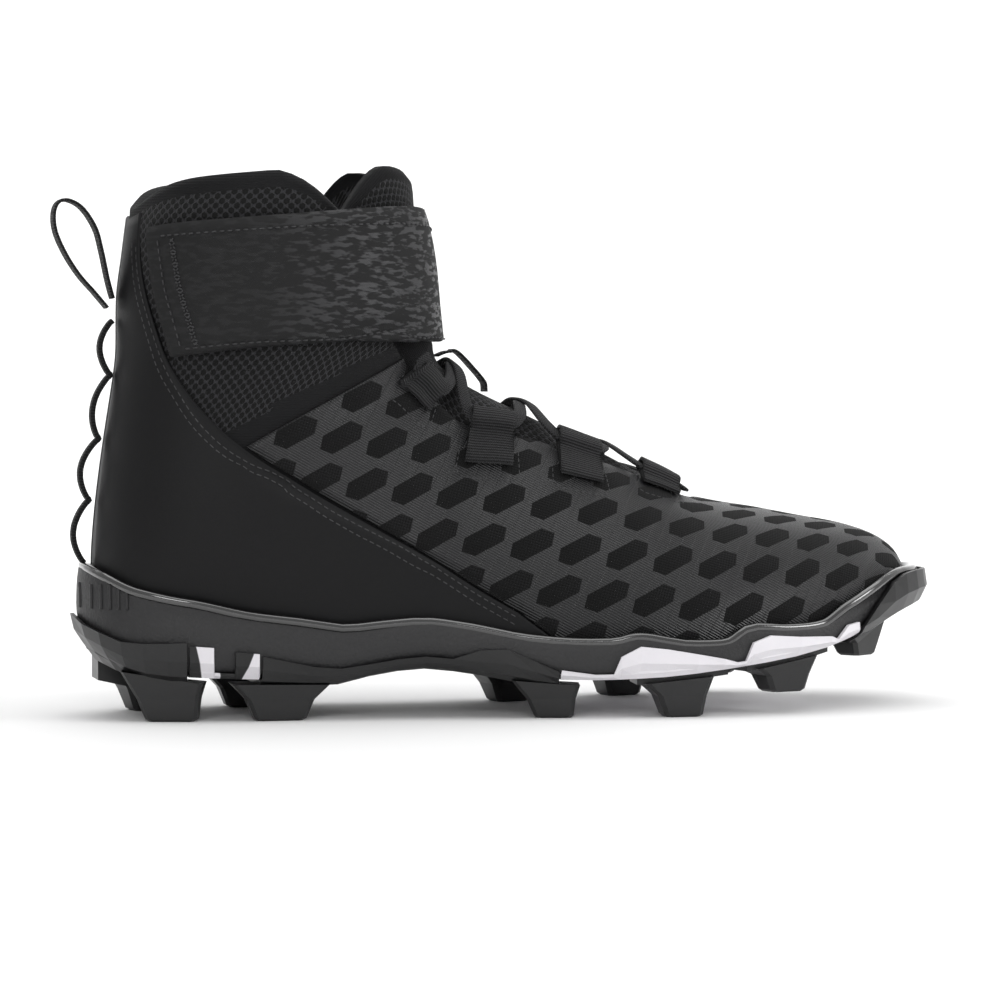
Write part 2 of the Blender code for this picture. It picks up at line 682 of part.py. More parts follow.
def make_quarter(shoe):
    """Smooth outer panel round the heel, from the arch on each side up to the collar's back."""
    rows = rows_between(QUARTER_FIRST_ROW, QUARTER_LAST_ROW)
    rows[0] += QUARTER_SEAM_ROWS
    outer = last_grid(rows, shell_columns, lambda u: SHELL_GAP + QUARTER_THICKNESS)
    inner = last_grid(rows, shell_columns, lambda u: SHELL_GAP)
    for grid in (outer, inner):
        rest_on_footbed(grid, rows, (0, -1))
        close_back(grid, rows, 0, -1)
    keep = np.zeros((len(rows) - 1, outer.shape[1] - 1), bool)
    keep[:, :QUARTER_CELLS] = True
    keep[:, -QUARTER_CELLS:] = True
    return add_object("heel_quarter", grid_mesh("heel_quarter", outer, inner, keep), BLACK_SYNTHETIC, shoe)


def make_overlay(shoe):
    """Film over toe and vamp, from the quarter's edge up to the throat and the ankle mesh."""
    rows = rows_between(0, OVERLAY_LAST_ROW)

    def columns(u):
        return shell_columns(u, QUARTER_SEAM if u >= QUARTER_FIRST_ROW - 1e-6 else 0.0)

    outer = last_grid(rows, columns, lambda u: SHELL_GAP + OVERLAY_THICKNESS)
    inner = last_grid(rows, columns, lambda u: SHELL_GAP)
    for grid in (outer, inner):
        rest_on_footbed(grid, rows, (0, -1))
    keep = np.ones((len(rows) - 1, outer.shape[1] - 1), bool)
    starts = np.array(rows[:-1])
    keep[starts >= THROAT_ROW, THROAT_FIRST_CELL : THROAT_FIRST_CELL + THROAT_CELLS] = False
    keep[starts >= QUARTER_FIRST_ROW - 1e-6, :QUARTER_CELLS] = False
    keep[starts >= QUARTER_FIRST_ROW - 1e-6, -QUARTER_CELLS:] = False
    return add_object("vamp_overlay", grid_mesh("vamp_overlay", outer, inner, keep), BLACK_OVERLAY, shoe)


TONGUE_CELLS = 8
TONGUE_CROWN_REACH = 0.30


def mm_per_v(u, v):
    """Length along row u for each unit of v."""
    return float(np.linalg.norm(last_surface(u, v + 0.01) - last_surface(u, v - 0.01))) / 0.02


def tongue_columns(u):
    ends = []
    for side in (LATERAL, MEDIAL):
        v = throat_v(u, side)
        ends.append(v + side * TONGUE_OVERLAP / mm_per_v(u, v))
    return arc(*ends, TONGUE_CELLS)


def tongue_crown(u):
    """Offset of the tongue's top: under the bootie at its edges, flush with the last in the middle."""
    lateral, medial = throat_v(u, LATERAL), throat_v(u, MEDIAL)
    inside = np.clip((np.array(tongue_columns(u)) - lateral) / (medial - lateral), 0, 1)
    raised = np.clip(np.minimum(inside, 1 - inside) / TONGUE_CROWN_REACH, 0, 1)
    raised = raised * raised * (3 - 2 * raised) * np.clip((u - THROAT_ROW) / 1.5, 0, 1)
    return -(wall_thickness(u) + TONGUE_GAP) * (1 - raised)


def make_tongue(shoe):
    """Padded tongue under the throat, wider than it, crowned up to the last's own surface."""
    rows = [THROAT_ROW - 0.35] + rows_between(THROAT_ROW, COLLAR_ROW)
    outer = last_grid(rows, tongue_columns, tongue_crown, dipped_row)
    inner = last_grid(rows, tongue_columns, lambda u: tongue_crown(u) - TONGUE_THICKNESS, dipped_row)
    return add_object("tongue", grid_mesh("tongue", outer, inner), BLACK_MESH, shoe)


STRAP_CELLS = 22
STRAP_BASE = STRAP_GAP + SHELL_GAP + QUARTER_THICKNESS


@lru_cache(maxsize=None)
def strap_low_row(v):
    """Row at v on which the strap's lower edge reaches its height."""
    first, last = (edge_v(STRAP_END, STRAP_FIRST_ROW, side) for side in (LATERAL, MEDIAL))
    way = np.interp(v, [first, 1, last], [0, 1, 0])
    share = smooth(column(STRAP_LOW_EDGE, "way"), column(STRAP_LOW_EDGE, "height"), way)
    rows = np.arange(HEEL_CORNER_ROW - 1, COLLAR_ROW, 0.5)
    heights = last_point(rows, np.full(len(rows), v), np.full(len(rows), STRAP_BASE))[:, 2]
    return float(np.interp(STUD_LENGTH + COLLAR_HEIGHT * share, heights, rows))


def strap_row(u, v):
    """Row of the last for the strap's own row u at v: the lower edge keeps level round the front."""
    lower = np.array([strap_low_row(round(float(place), 6)) for place in v])
    down = (STRAP_LAST_ROW - u) / (STRAP_LAST_ROW - STRAP_FIRST_ROW)
    return STRAP_LAST_ROW - down * (STRAP_LAST_ROW - lower)


def make_strap(shoe):
    """Ankle strap: from the outer side's back, round the front, to the inner side's back."""
    rows = row_list(STRAP_FIRST_ROW, (STRAP_LAST_ROW, 0.8))

    def columns(u):
        return arc(edge_v(STRAP_END, u, LATERAL), edge_v(STRAP_END, u, MEDIAL), STRAP_CELLS)

    outer = last_grid(rows, columns, lambda u: STRAP_BASE + STRAP_THICKNESS, strap_row)
    inner = last_grid(rows, columns, lambda u: STRAP_BASE, strap_row)
    return add_object("ankle_strap", grid_mesh("ankle_strap", outer, inner), BLACK_SYNTHETIC, shoe)


def ribbon_mesh(name, points, normals, width, thickness):
    """Ribbon with a rectangular section along points; normals is the side that its face looks to."""
    points, normals = np.array(points), np.array(normals)
    along = np.gradient(points, axis=0)
    across = np.cross(along, normals)
    across /= np.linalg.norm(across, axis=1, keepdims=True)
    normals = np.cross(across, along)
    normals /= np.linalg.norm(normals, axis=1, keepdims=True)
    edges = [points + across * width * k for k in (-0.5, 0.5)]
    top = np.stack([edge + normals * thickness / 2 for edge in edges], 1)
    base = np.stack([edge - normals * thickness / 2 for edge in edges], 1)
    return grid_mesh(name, top, base)


# Lace loops, toe to ankle: how far each reaches below and above the throat's edge, as shares of its length.
Loop = namedtuple("Loop", "below above")
LACE_LOOPS = [Loop(0.30, 0.38), Loop(0.66, 0.38), Loop(0.66, 0.38), Loop(0.30, 0.38)]


def loop_profile(below, above):
    """Webbing doubled over a tunnel, as (along the section, out from the last) pairs, outside and tunnel."""
    base, thick, high = 3 * GAP + OVERLAY_THICKNESS + SHELL_GAP, LOOP_THICKNESS, LOOP_TUNNEL
    top = base + 2 * thick + high
    outside = [
        (-below, base),
        (0.3 * above, base),
        (above - 0.4 * high, base),
        (above, base + thick + high / 2),
        (above - 0.4 * high, top),
        (0.1 * above, top),
        (-0.35 * above, base + 1.9 * thick),
        (-below, base + 1.8 * thick),
    ]
    tunnel = [
        (-0.05 * above, base + thick + 0.3 * high),
        (0.3 * above, base + thick),
        (above - 0.4 * high - thick, base + thick),
        (above - thick, base + thick + high / 2),
        (above - 0.4 * high - thick, top - thick),
        (0.3 * above, top - thick),
        (0.1 * above, top - thick - 0.2 * high),
        (-0.05 * above, base + thick + 0.5 * high),
    ]
    return outside + outside[:1], tunnel + tunnel[:1]


def on_last(u, side, along, out):
    """Point at a length along row u above the throat's edge, out from the last."""
    edge = throat_v(u, side)
    v = edge - side * along / mm_per_v(u, edge)
    return last_point(u, v, out)


@lru_cache(maxsize=None)
def throat_lengths(side):
    """Rows up the throat's edge, and the length along it from its front end to each."""
    rows = np.arange(THROAT_ROW, HEEL_CORNER_ROW + 1, 0.1)
    edge = np.array([last_surface(u, throat_v(u, side)) for u in rows])
    return rows, np.concatenate([[0], np.cumsum(np.linalg.norm(np.diff(edge, axis=0), axis=1))])


def throat_row(length, side):
    """The row on which the throat's edge has come this far from its front end."""
    rows, lengths = throat_lengths(side)
    return float(np.interp(length, lengths, rows))


def make_loops(shoe):
    """Webbing loops that carry the laces, four a side."""
    for side, word in ((LATERAL, "lateral"), (MEDIAL, "medial")):
        for number, loop in enumerate(LACE_LOOPS):
            centre = FIRST_LOOP + number * LOOP_PITCH
            rows = [throat_row(centre + k * LOOP_WIDTH / 2, side) for k in (-1, 0, 1)]
            grids = []
            for profile in loop_profile(loop.below * LOOP_LENGTH, loop.above * LOOP_LENGTH):
                grids.append(np.array([[on_last(u, side, t, n) for t, n in profile] for u in rows]))
            name = f"lace_loop_{word}_{number + 1}"
            add_object(name, grid_mesh(name, *grids), BLACK_WEBBING, shoe)


LACE_CELLS = 6


def strand_mesh(name, start, end, lift):
    """Flat lace over the tongue between two (row, v) places; lift is its height at the ends and middle."""
    points, normals = [], []
    for t in np.linspace(0, 1, LACE_CELLS + 1):
        u, v = start[0] + (end[0] - start[0]) * t, start[1] + (end[1] - start[1]) * t
        height = float(smooth([0, 0.3, 0.7, 1], [lift[0], lift[1], lift[1], lift[0]], t))
        base, top = last_point(u, v, height), last_point(u, v, height + MM)
        points.append(base)
        normals.append((top - base) / MM)
    return ribbon_mesh(name, points, normals, LACE_WIDTH, LACE_THICKNESS)


def lace_place(length, side):
    """(row, v) where a lace leaves a loop's tunnel at this length up the throat's edge."""
    u = throat_row(length, side)
    edge = throat_v(u, side)
    return u, edge - side * 0.4 * LOOP_LENGTH * LACE_LOOPS[0].above / mm_per_v(u, edge)


def make_laces(shoe):
    """Lace crossings between the loops, and the bar in front of the first pair."""
    reach = LOOP_WIDTH / 2 + LACE_WIDTH / 2 + SEAT_GAP
    side_lift = SEAT_GAP + OVERLAY_THICKNESS + LOOP_THICKNESS + LOOP_TUNNEL / 2
    bar = [lace_place(FIRST_LOOP - reach - MM, side) for side in (LATERAL, MEDIAL)]
    mesh = strand_mesh("lace_bar", *bar, (side_lift, LACE_LIFT))
    add_object("lace_bar", mesh, BLACK_WEBBING, shoe)
    for number in range(len(LACE_LOOPS) - 1):
        low = FIRST_LOOP + number * LOOP_PITCH + reach
        high = FIRST_LOOP + (number + 1) * LOOP_PITCH - reach
        name = f"lace_crossing_{number + 1}"
        first = strand_mesh(name, lace_place(low, LATERAL), lace_place(high, MEDIAL), (side_lift, LACE_LIFT))
        lifted = (side_lift + MM * 0.3, LACE_LIFT + LACE_THICKNESS * 0.66)
        second = strand_mesh(name + "_over", lace_place(low, MEDIAL), lace_place(high, LATERAL), lifted)
        union(add_object(name, first, BLACK_WEBBING, shoe), [second])


# Pull loop at the back, as shares of its length back from and up from its foot on the heel's seam.
Route = namedtuple("Route", "back up")
PULL_FOOT = 0.81
PULL_ROUTE = [
    Route(0.010, 0.05), Route(0.055, 0.22), Route(0.105, 0.46), Route(0.160, 0.66), Route(0.270, 0.83),
    Route(0.385, 0.90), Route(0.475, 0.89), Route(0.520, 0.80), Route(0.510, 0.64), Route(0.430, 0.45),
    Route(0.310, 0.26), Route(0.170, 0.10), Route(0.060, -0.03),
]


def back_x(z):
    """Rear face of the heel's panel at height z."""
    rows = np.arange(HEEL_CORNER_ROW, COLLAR_ROW, 0.1)
    line = last_surface(rows, 0 * rows)
    return float(np.interp(z, line[:, 2], line[:, 0])) - GAP - QUARTER_THICKNESS


def side_normals(points):
    """Normals, in the shoe's middle plane, of a route that lies in it."""
    along = np.gradient(np.array(points), axis=0)
    return np.cross(along, [0, 1, 0])


def make_pull_loop(shoe):
    foot_z = STUD_LENGTH + PULL_FOOT * (COLLAR_HEIGHT - STUD_LENGTH)
    points = []
    for place in PULL_ROUTE:
        z = foot_z + place.up * PULL_LOOP_LENGTH
        start = back_x(foot_z) - GAP - PULL_RIBBON_THICKNESS
        points.append([start - place.back * PULL_LOOP_LENGTH, 0.0, z])
    mesh = ribbon_mesh("pull_loop", points, side_normals(points), PULL_RIBBON_WIDTH, PULL_RIBBON_THICKNESS)
    add_object("pull_loop", mesh, BLACK_WEBBING, shoe)


# Cord down the heel's seam: the levels at which it is tacked, and its bulge between them.
CORD_TACKS = [0.775, 0.66, 0.525, 0.395, 0.262]
CORD_CELLS = 7


def make_heel_cord(shoe):
    """Scalloped cord down the back, tacked at each level and standing off between."""
    points = []
    levels = [STUD_LENGTH + k * (COLLAR_HEIGHT - STUD_LENGTH) for k in CORD_TACKS]
    for high, low in zip(levels, levels[1:]):
        for t in np.linspace(0, 1, CORD_CELLS + 1)[: -1 if low != levels[-1] else None]:
            z = high + (low - high) * t
            stand_off = HEEL_CORD_BULGE * math.sin(math.pi * t) ** 0.8
            points.append([back_x(z) - SEAT_GAP - HEEL_CORD_THICKNESS / 2 - stand_off, 0.0, z])
    mesh = ribbon_mesh("heel_cord", points, side_normals(points), HEEL_CORD_WIDTH, HEEL_CORD_THICKNESS)
    add_object("heel_cord", mesh, BLACK_WEBBING, shoe)


TONGUE_RIBBON_ENDS = (16.6, 12.95)
TONGUE_RIBBON_CELLS = 8


def make_tongue_ribbon(shoe):
    """Ribbon that arches over the tongue's middle in front of the strap."""
    points = []
    for t in np.linspace(0, 1, TONGUE_RIBBON_CELLS + 1):
        u = TONGUE_RIBBON_ENDS[0] + (TONGUE_RIBBON_ENDS[1] - TONGUE_RIBBON_ENDS[0]) * t
        rise = SEAT_GAP + TONGUE_RIBBON_THICKNESS / 2 + TONGUE_RIBBON_RISE * math.sin(math.pi * t) ** 0.45
        points.append(last_point(u, 1.0, rise))
    width, thickness = TONGUE_RIBBON_WIDTH, TONGUE_RIBBON_THICKNESS
    mesh = ribbon_mesh("tongue_ribbon", points, side_normals(points), width, thickness)
    add_object("tongue_ribbon", mesh, BLACK_WEBBING, shoe)


def surface_tree(objects):
    """Ray-casting tree of several finished pieces."""
    vertices, faces = [], []
    for obj in objects:
        start = len(vertices)
        vertices += [v.co.copy() for v in obj.data.vertices]
        faces += [[start + i for i in face.vertices] for face in obj.data.polygons]
    return BVHTree.FromPolygons(vertices, faces)


def fitted_point(tree, s, side, z, clearance, above=None):
    """Point just outside the upper at height z, on the outline's normal at s, or else below above."""
    far = Vector(rim_point(s, side, -20 * MM, z))
    near = Vector(rim_point(s, side, 20 * MM, z))
    direction = (near - far).normalized()
    hit, _, _, _ = tree.ray_cast(far, direction, 60 * MM)
    if hit is None:
        if above is not None:
            return np.array((*above[:2], z))
        return np.array(rim_point(s, side, FEATHER_INSET - clearance, z))
    return np.array(hit - direction * clearance)


# Shares of the length where every piece of the sole has a section, so that their faces stay parallel.
SOLE_SHARES = [
    0, 0.006, 0.020, 0.040, 0.062, 0.087, 0.110, 0.136, 0.160, 0.186, 0.217, 0.247, 0.277, 0.312, 0.342, 0.372,
    0.402, 0.432, 0.462, 0.492, 0.520, 0.557, 0.585, 0.607, 0.637, 0.672, 0.703, 0.737, 0.759, 0.797, 0.837,
    0.860, 0.879, 0.902, 0.927, 0.949, 0.969, 0.985, 0.995, 1,
]


def lip_gap(x):
    """Clearance from lip to upper: wider where the sole curves round heel and toe."""
    return LIP_GAP * smooth([0, 0.08, 0.2, 0.8, 0.9, 1], [2.4, 2.1, 1.3, 1.5, 2.1, 2.1], x / SOLE_LENGTH)


def stations_between(first, last):
    return [float(station(x)) for x in SOLE_SHARES if first - 1e-6 <= x <= last + 1e-6]


def make_midsole(shoe, upper_pieces):
    """Cupped midsole: its side wall rises outside the upper to a thin lip."""
    tree = surface_tree(upper_pieces)
    outer, inner = [], []
    for s in stations_between(0, 1):
        sides = {}
        for side in (LATERAL, MEDIAL):
            x = float(outline_point(s, side)[0])
            low, top = float(midsole_floor(x)), float(lip_height(x))
            heights = [top, low + (top - low) * 0.72, low + (top - low) * 0.30]
            walls = [wall_point(s, side, z) for z in heights]
            walls.append(floor_corner(s, side, midsole_floor, 0.0))
            bed = float(footbed(float(rim_point(s, side, FEATHER_INSET, 0)[0])))
            fits = []
            for z in (top, bed + (top - bed) * 0.55, bed + (top - bed) * 0.2):
                fits.append(fitted_point(tree, s, side, z, lip_gap(x), fits[-1] if fits else None))
            corner = np.array(fits[2])
            corner[2] = float(footbed(corner[0]))
            fits.append(corner)
            outward = -np.array(rim_point(s, side, 1, 0) - rim_point(s, side, 0, 0))
            for k, least in ((0, LIP_THICKNESS), (1, LIP_THICKNESS * 1.5)):
                room = float((walls[k] - fits[k])[:2] @ outward[:2])
                if room < least:
                    walls[k] = walls[k] + outward * (least - room) * np.array([1, 1, 0])
            sides[side] = (walls, fits)
        outer.append(sides[LATERAL][0] + [middle_of(sides, 0)] + sides[MEDIAL][0][::-1])
        inner.append(sides[LATERAL][1] + [middle_of(sides, 1)] + sides[MEDIAL][1][::-1])
    mesh = grid_mesh("midsole", np.array(outer), np.array(inner))
    return add_object("midsole", mesh, BLACK_FOAM, shoe)


def middle_of(sides, layer):
    return (sides[LATERAL][layer][-1] + sides[MEDIAL][layer][-1]) / 2


# Panels of the plate and of the pods that climb the side wall. x is a share of the sole's length
# and height a share of the side wall's height at the heel, measured from the underside.
Panel = namedtuple("Panel", "x height")
HEEL_POD = [Panel(0.000, 0.42), Panel(0.002, 0.36), Panel(0.042, 0.38), Panel(0.072, 0.46), Panel(0.107, 0.50)]
SHANK_POD = [
    Panel(0.190, 0.36),
    Panel(0.247, 0.24),
    Panel(0.312, 0.17),
    Panel(0.402, 0.16),
    Panel(0.432, 0.31),
    Panel(0.462, 0.38),
    Panel(0.492, 0.28),
    Panel(0.517, 0.18),
]
TOE_POD = [Panel(0.882, 0.18), Panel(0.902, 0.37), Panel(0.927, 0.52), Panel(0.957, 0.54), Panel(1.000, 0.44)]
PLATE_RIM = [
    Panel(0.087, 0.00),
    Panel(0.107, 0.00),
    Panel(0.109, 0.10),
    Panel(0.110, 0.46),
    Panel(0.136, 0.45),
    Panel(0.137, 0.08),
    Panel(0.159, 0.08),
    Panel(0.160, 0.41),
    Panel(0.186, 0.39),
    Panel(0.187, 0.08),
    Panel(0.189, 0.00),
    Panel(0.517, 0.00),
    Panel(0.519, 0.08),
    Panel(0.520, 0.20),
    Panel(0.557, 0.13),
    Panel(0.577, 0.14),
    Panel(0.585, 0.36),
    Panel(0.607, 0.47),
    Panel(0.637, 0.42),
    Panel(0.672, 0.32),
    Panel(0.703, 0.22),
    Panel(0.719, 0.12),
    Panel(0.729, 0.12),
    Panel(0.737, 0.36),
    Panel(0.759, 0.41),
    Panel(0.797, 0.32),
    Panel(0.837, 0.22),
    Panel(0.847, 0.12),
    Panel(0.860, 0.28),
    Panel(0.875, 0.26),
    Panel(0.879, 0.12),
]


def panel_height(panels, x):
    """Top of a climbing panel above the underside at x."""
    shares = [p.x for p in panels]
    return underside(x) + SIDEWALL_HEIGHT * np.interp(x / SOLE_LENGTH, shares, [p.height for p in panels])


def tray_mesh(name, stations, top_of, bottom, thickness, outward):
    """Tray under the sole whose rim climbs the side wall; bottom is a height above the underside."""
    outer, inner = [], []
    for s in stations:
        sides = {}
        for side in (LATERAL, MEDIAL):
            x = float(outline_point(s, side)[0])
            low = float(underside(x)) + bottom
            high = max(float(top_of(x)), low + thickness + 0.4 * MM)
            inner_low = low + thickness
            levels = [high, low + (high - low) * 0.55, low + (high - low) * 0.18]
            outside = [wall_point(s, side, z, outward + PANEL_THICKNESS) for z in levels]
            outside.append(floor_corner(s, side, lambda x: underside(x) + bottom, outward - 0.8 * MM))
            inner_levels = [high, inner_low + (high - inner_low) * 0.55, inner_low + (high - inner_low) * 0.1]
            inside = [wall_point(s, side, z, outward) for z in inner_levels]
            inside.append(floor_corner(s, side, lambda x: underside(x) + bottom + thickness, outward))
            sides[side] = (outside, inside)
        outer.append(sides[LATERAL][0] + [middle_of(sides, 0)] + sides[MEDIAL][0][::-1])
        inner.append(sides[LATERAL][1] + [middle_of(sides, 1)] + sides[MEDIAL][1][::-1])
    return grid_mesh(name, np.array(outer), np.array(inner))


# Studs. x is a share of the sole's length, inset the distance of the stud's middle from the
# outline as a share of the ball's width, and tip the height of its foot as a share of the toe spring.
# Before and after are the root's reach beyond the foot, to the heel and to the toe.
Stud = namedtuple("Stud", "name x inset tip length width before after")
STUD_LENGTHS = 13 * MM
STUD_WIDTHS = 9.5 * MM
STUD_ROOT = 7 * MM
STUDS = {
    "heel": [Stud("rear", 0.087, 0.100, 0.0, 1.30, 0.95, 1.2, 0.3)],
    "shank": [
        Stud("heel_front", 0.213, 0.092, 0.0, 1.30, 0.95, 1.1, 1.1),
        Stud("ball_rear", 0.512, 0.100, 0.0, 1.00, 1.05, 1.1, 0.3),
    ],
    "ball": [Stud("ball_front", 0.661, 0.088, 0.0, 1.00, 1.10, 1.0, 0.5)],
    "fore": [Stud("fore", 0.795, 0.092, 0.33, 1.05, 1.05, 0.9, 0.6)],
    "toe": [Stud("toe", 0.919, 0.110, 0.80, 0.90, 0.95, 0.7, 0.6)],
}


def stud_mesh(name, stud, side):
    """A stud: eight-cornered foot, flaring to its root inside the pod."""
    s = float(station(stud.x))
    centre = rim_point(s, side, stud.inset * BALL_WIDTH, 0.0)
    fore, aft = (rim_point(s + step, side, stud.inset * BALL_WIDTH, 0.0) for step in (0.01, -0.01))
    ahead = fore - aft
    along = Vector(ahead).normalized()
    outward = Vector((along.y, -along.x, 0)) * (1 if side == LATERAL else -1)
    root_z = float(underside(float(centre[0]))) + POD_THICKNESS * 0.5
    tip_z = TOE_SPRING * stud.tip
    half_length, half_width = STUD_LENGTHS * stud.length / 2, STUD_WIDTHS * stud.width / 2
    levels = [
        (tip_z, 0.0, 0.86, 0.0),
        (tip_z + 0.8 * MM, 0.02, 1.0, 0.05),
        (tip_z + (root_z - tip_z) * 0.55, 0.35, 1.12, 0.35),
        (root_z, 1.0, 1.30, 1.0),
    ]
    root = levels[-1][0]
    rings = []
    for z, reach, size, flare in levels:
        back = -half_length * min(size, 1.0) - STUD_ROOT * stud.before * reach
        front = half_length * min(size, 1.0) + STUD_ROOT * stud.after * reach
        outer = half_width * size
        inner = -half_width * size - STUD_ROOT * 0.35 * flare
        corner = 0.28 * half_width
        ring = [
            (back, outer - corner), (back + corner, outer), (front - corner, outer), (front, outer - corner),
            (front, inner + corner), (front - corner, inner), (back + corner, inner), (back, inner + corner),
        ]
        points = [Vector((centre[0], centre[1], z)) + along * a + outward * b for a, b in ring]
        if z == root:
            for point in points:
                point.z = float(underside(point.x)) + POD_THICKNESS * 0.2
        rings.append(points)
    return ring_mesh(name, rings)


def rear_stud_mesh(name):
    """Short rear stud with a bevelled foot, just inside the heel's middle."""
    x0, x1 = 0.024 * SOLE_LENGTH, 0.082 * SOLE_LENGTH
    y0, y1 = 0.00 * BALL_WIDTH, 0.14 * BALL_WIDTH
    drop = STUD_LENGTH * 0.62
    corners = [(x0, y0), (x1, y0), (x1, y1), (x0, y1)]
    foot = [Vector((x, y, float(underside(x)) - drop + (1.5 * MM if x == x1 else 0))) for x, y in corners]
    root = [Vector((x, y, float(underside(x)) + POD_THICKNESS * 0.5)) for x, y in corners]
    return ring_mesh(name, [foot, root])


def ring_mesh(name, rings):
    """Closed solid through a stack of rings with equal numbers of points."""
    bm = bmesh.new()
    rows = [[bm.verts.new(p) for p in ring] for ring in rings]
    count = len(rows[0])
    for a, b in zip(rows, rows[1:]):
        for k in range(count):
            bm.faces.new((a[k], a[(k + 1) % count], b[(k + 1) % count], b[k]))
    bm.faces.new(rows[0][::-1])
    bm.faces.new(rows[-1])
    return mesh_of(bm, name)


def union(obj, meshes):
    """Fuses meshes into obj with Boolean modifiers."""
    for k, mesh in enumerate(meshes):
        cutter = bpy.data.objects.new(f"{obj.name}_part_{k}", mesh)
        bpy.context.scene.collection.objects.link(cutter)
        cutter.hide_render = True
        cutter.display_type = "WIRE"
        cutter.parent = obj.parent
        modifier = obj.modifiers.new(f"fuse_{k}", "BOOLEAN")
        modifier.operation = "UNION"
        modifier.object = cutter


def make_pods(shoe):
    """Black outsole pods with their studs: heel, shank and toe run right across, the others one a side."""
    for region, panels in (("heel", HEEL_POD), ("shank", SHANK_POD), ("toe", TOE_POD)):
        first, last = panels[0].x, panels[-1].x
        ends = [float(station(first)), float(station(last))]
        stations = sorted(set(ends + stations_between(first, last)))
        name = f"outsole_{region}"
        gap = SIDE_GAP * {"heel": 2.2, "shank": 1.0, "toe": 3.0}[region]
        mesh = tray_mesh(name, stations, lambda x, p=panels: panel_height(p, x), 0.0, POD_THICKNESS, gap)
        pod = add_object(name, mesh, BLACK_RUBBER, shoe)
        studs = []
        for stud in STUDS[region]:
            studs += [stud_mesh(f"{stud.name}_{side}", stud, side) for side in (LATERAL, MEDIAL)]
        if region == "heel":
            studs.append(rear_stud_mesh("rear_bevel"))
        union(pod, studs)
    for region in ("ball", "fore"):
        for side, word in ((LATERAL, "lateral"), (MEDIAL, "medial")):
            name = f"outsole_{region}_{word}"
            stud = STUDS[region][0]
            pod = add_object(name, base_pad_mesh(name, stud, side), BLACK_RUBBER, shoe)
            union(pod, [stud_mesh(f"{name}_stud", stud, side)])


PAD_REACH = 0.055
PAD_INSETS = (0.052, 0.10, 0.19)


def base_pad_mesh(name, stud, side):
    """Flat pad that carries one forefoot stud, bonded under the plate."""
    low, high = [], []
    for share in np.linspace(stud.x - PAD_REACH, stud.x + PAD_REACH, 5):
        edge = [rim_point(float(station(share)), side, BALL_WIDTH * k, 0.0) for k in PAD_INSETS]
        bases = [float(underside(point[0])) for point in edge]
        low.append([np.array([point[0], point[1], z]) for point, z in zip(edge, bases)])
        high.append([np.array([point[0], point[1], z + POD_THICKNESS]) for point, z in zip(edge, bases)])
    return grid_mesh(name, np.array(low), np.array(high))


PLATE_FIRST, PLATE_LAST = 0.087, 0.879


def make_plate(shoe):
    """White plate between midsole and pods; its tabs climb the side wall between the pods."""
    inside_shares = {x for x in SOLE_SHARES if PLATE_FIRST <= x <= PLATE_LAST}
    x_shares = sorted({p.x for p in PLATE_RIM} | inside_shares)
    outer, inner = [], []
    low_of = POD_THICKNESS + GAP
    for share in x_shares:
        s = float(station(share))
        sides = {}
        for side in (LATERAL, MEDIAL):
            x = float(outline_point(s, side)[0])
            low = float(underside(x)) + low_of
            under_pod = not plate_shows(share)
            top = float(panel_height(PLATE_RIM, x))
            high = low + PLATE_THICKNESS + (0 if under_pod else max(top - low - PLATE_THICKNESS, 0.3 * MM))
            out = -PLATE_TUCK if under_pod else SIDE_GAP
            levels = [high, low + (high - low) * 0.5]
            outside = [wall_point(s, side, z, out + PANEL_THICKNESS) for z in levels]
            outside.append(floor_corner(s, side, lambda x: underside(x) + low_of, out - 0.4 * MM))
            inner_low = low + PLATE_THICKNESS
            inside_levels = [high, inner_low + (high - inner_low) * 0.5]
            inside = [wall_point(s, side, z, out) for z in inside_levels]
            inside.append(floor_corner(s, side, lambda x: underside(x) + low_of + PLATE_THICKNESS, out))
            sides[side] = (outside, inside)
        outer.append(sides[LATERAL][0] + [middle_of(sides, 0)] + sides[MEDIAL][0][::-1])
        inner.append(sides[LATERAL][1] + [middle_of(sides, 1)] + sides[MEDIAL][1][::-1])
    return add_object("plate", grid_mesh("plate", np.array(outer), np.array(inner)), WHITE_PLATE, shoe)


def plate_shows(share):
    """Whether the plate's edge shows at this share of the length, clear of the climbing pods."""
    return 0.108 < share < 0.188 or 0.518 < share < 0.880


def make_insole(shoe):
    """Sockliner that lies on the footbed inside the bootie's wall."""
    outer, inner = [], []
    for s in stations_between(0, 1)[::2]:
        sides = {}
        for side in (LATERAL, MEDIAL):
            toe = np.clip((float(outline_point(s, side)[0]) / SOLE_LENGTH - 0.84) / 0.1, 0, 1)
            edge = rim_point(s, side, FEATHER_INSET + WALL_FOOT + INSOLE_CLEARANCE * (1 + 4 * toe), 0.0)
            low = float(footbed(edge[0])) + SEAT_GAP
            sides[side] = [np.array([edge[0], edge[1], z]) for z in (low + INSOLE_THICKNESS, low)]
        for layer, grid in ((0, outer), (1, inner)):
            middle = (sides[LATERAL][layer] + sides[MEDIAL][layer]) / 2
            grid.append([sides[LATERAL][layer], middle, sides[MEDIAL][layer]])
    return add_object("insole", grid_mesh("insole", np.array(outer), np.array(inner)), BLACK_MESH, shoe)


def clear_scene():
    for obj in list(bpy.data.objects):
        bpy.data.objects.remove(obj, do_unlink=True)


def centre_over_origin(shoe):
    """Moves the shoe so that it stands on z = 0 with its box centred on the origin."""
    bpy.context.view_layer.update()
    graph = bpy.context.evaluated_depsgraph_get()
    points = []
    for obj in shoe.children:
        if not obj.hide_render:
            points += [v.co.copy() for v in obj.evaluated_get(graph).data.vertices]
    low = [min(p[k] for p in points) for k in range(3)]
    high = [max(p[k] for p in points) for k in range(3)]
    shoe.location = (-(low[0] + high[0]) / 2, -(low[1] + high[1]) / 2, -low[2])


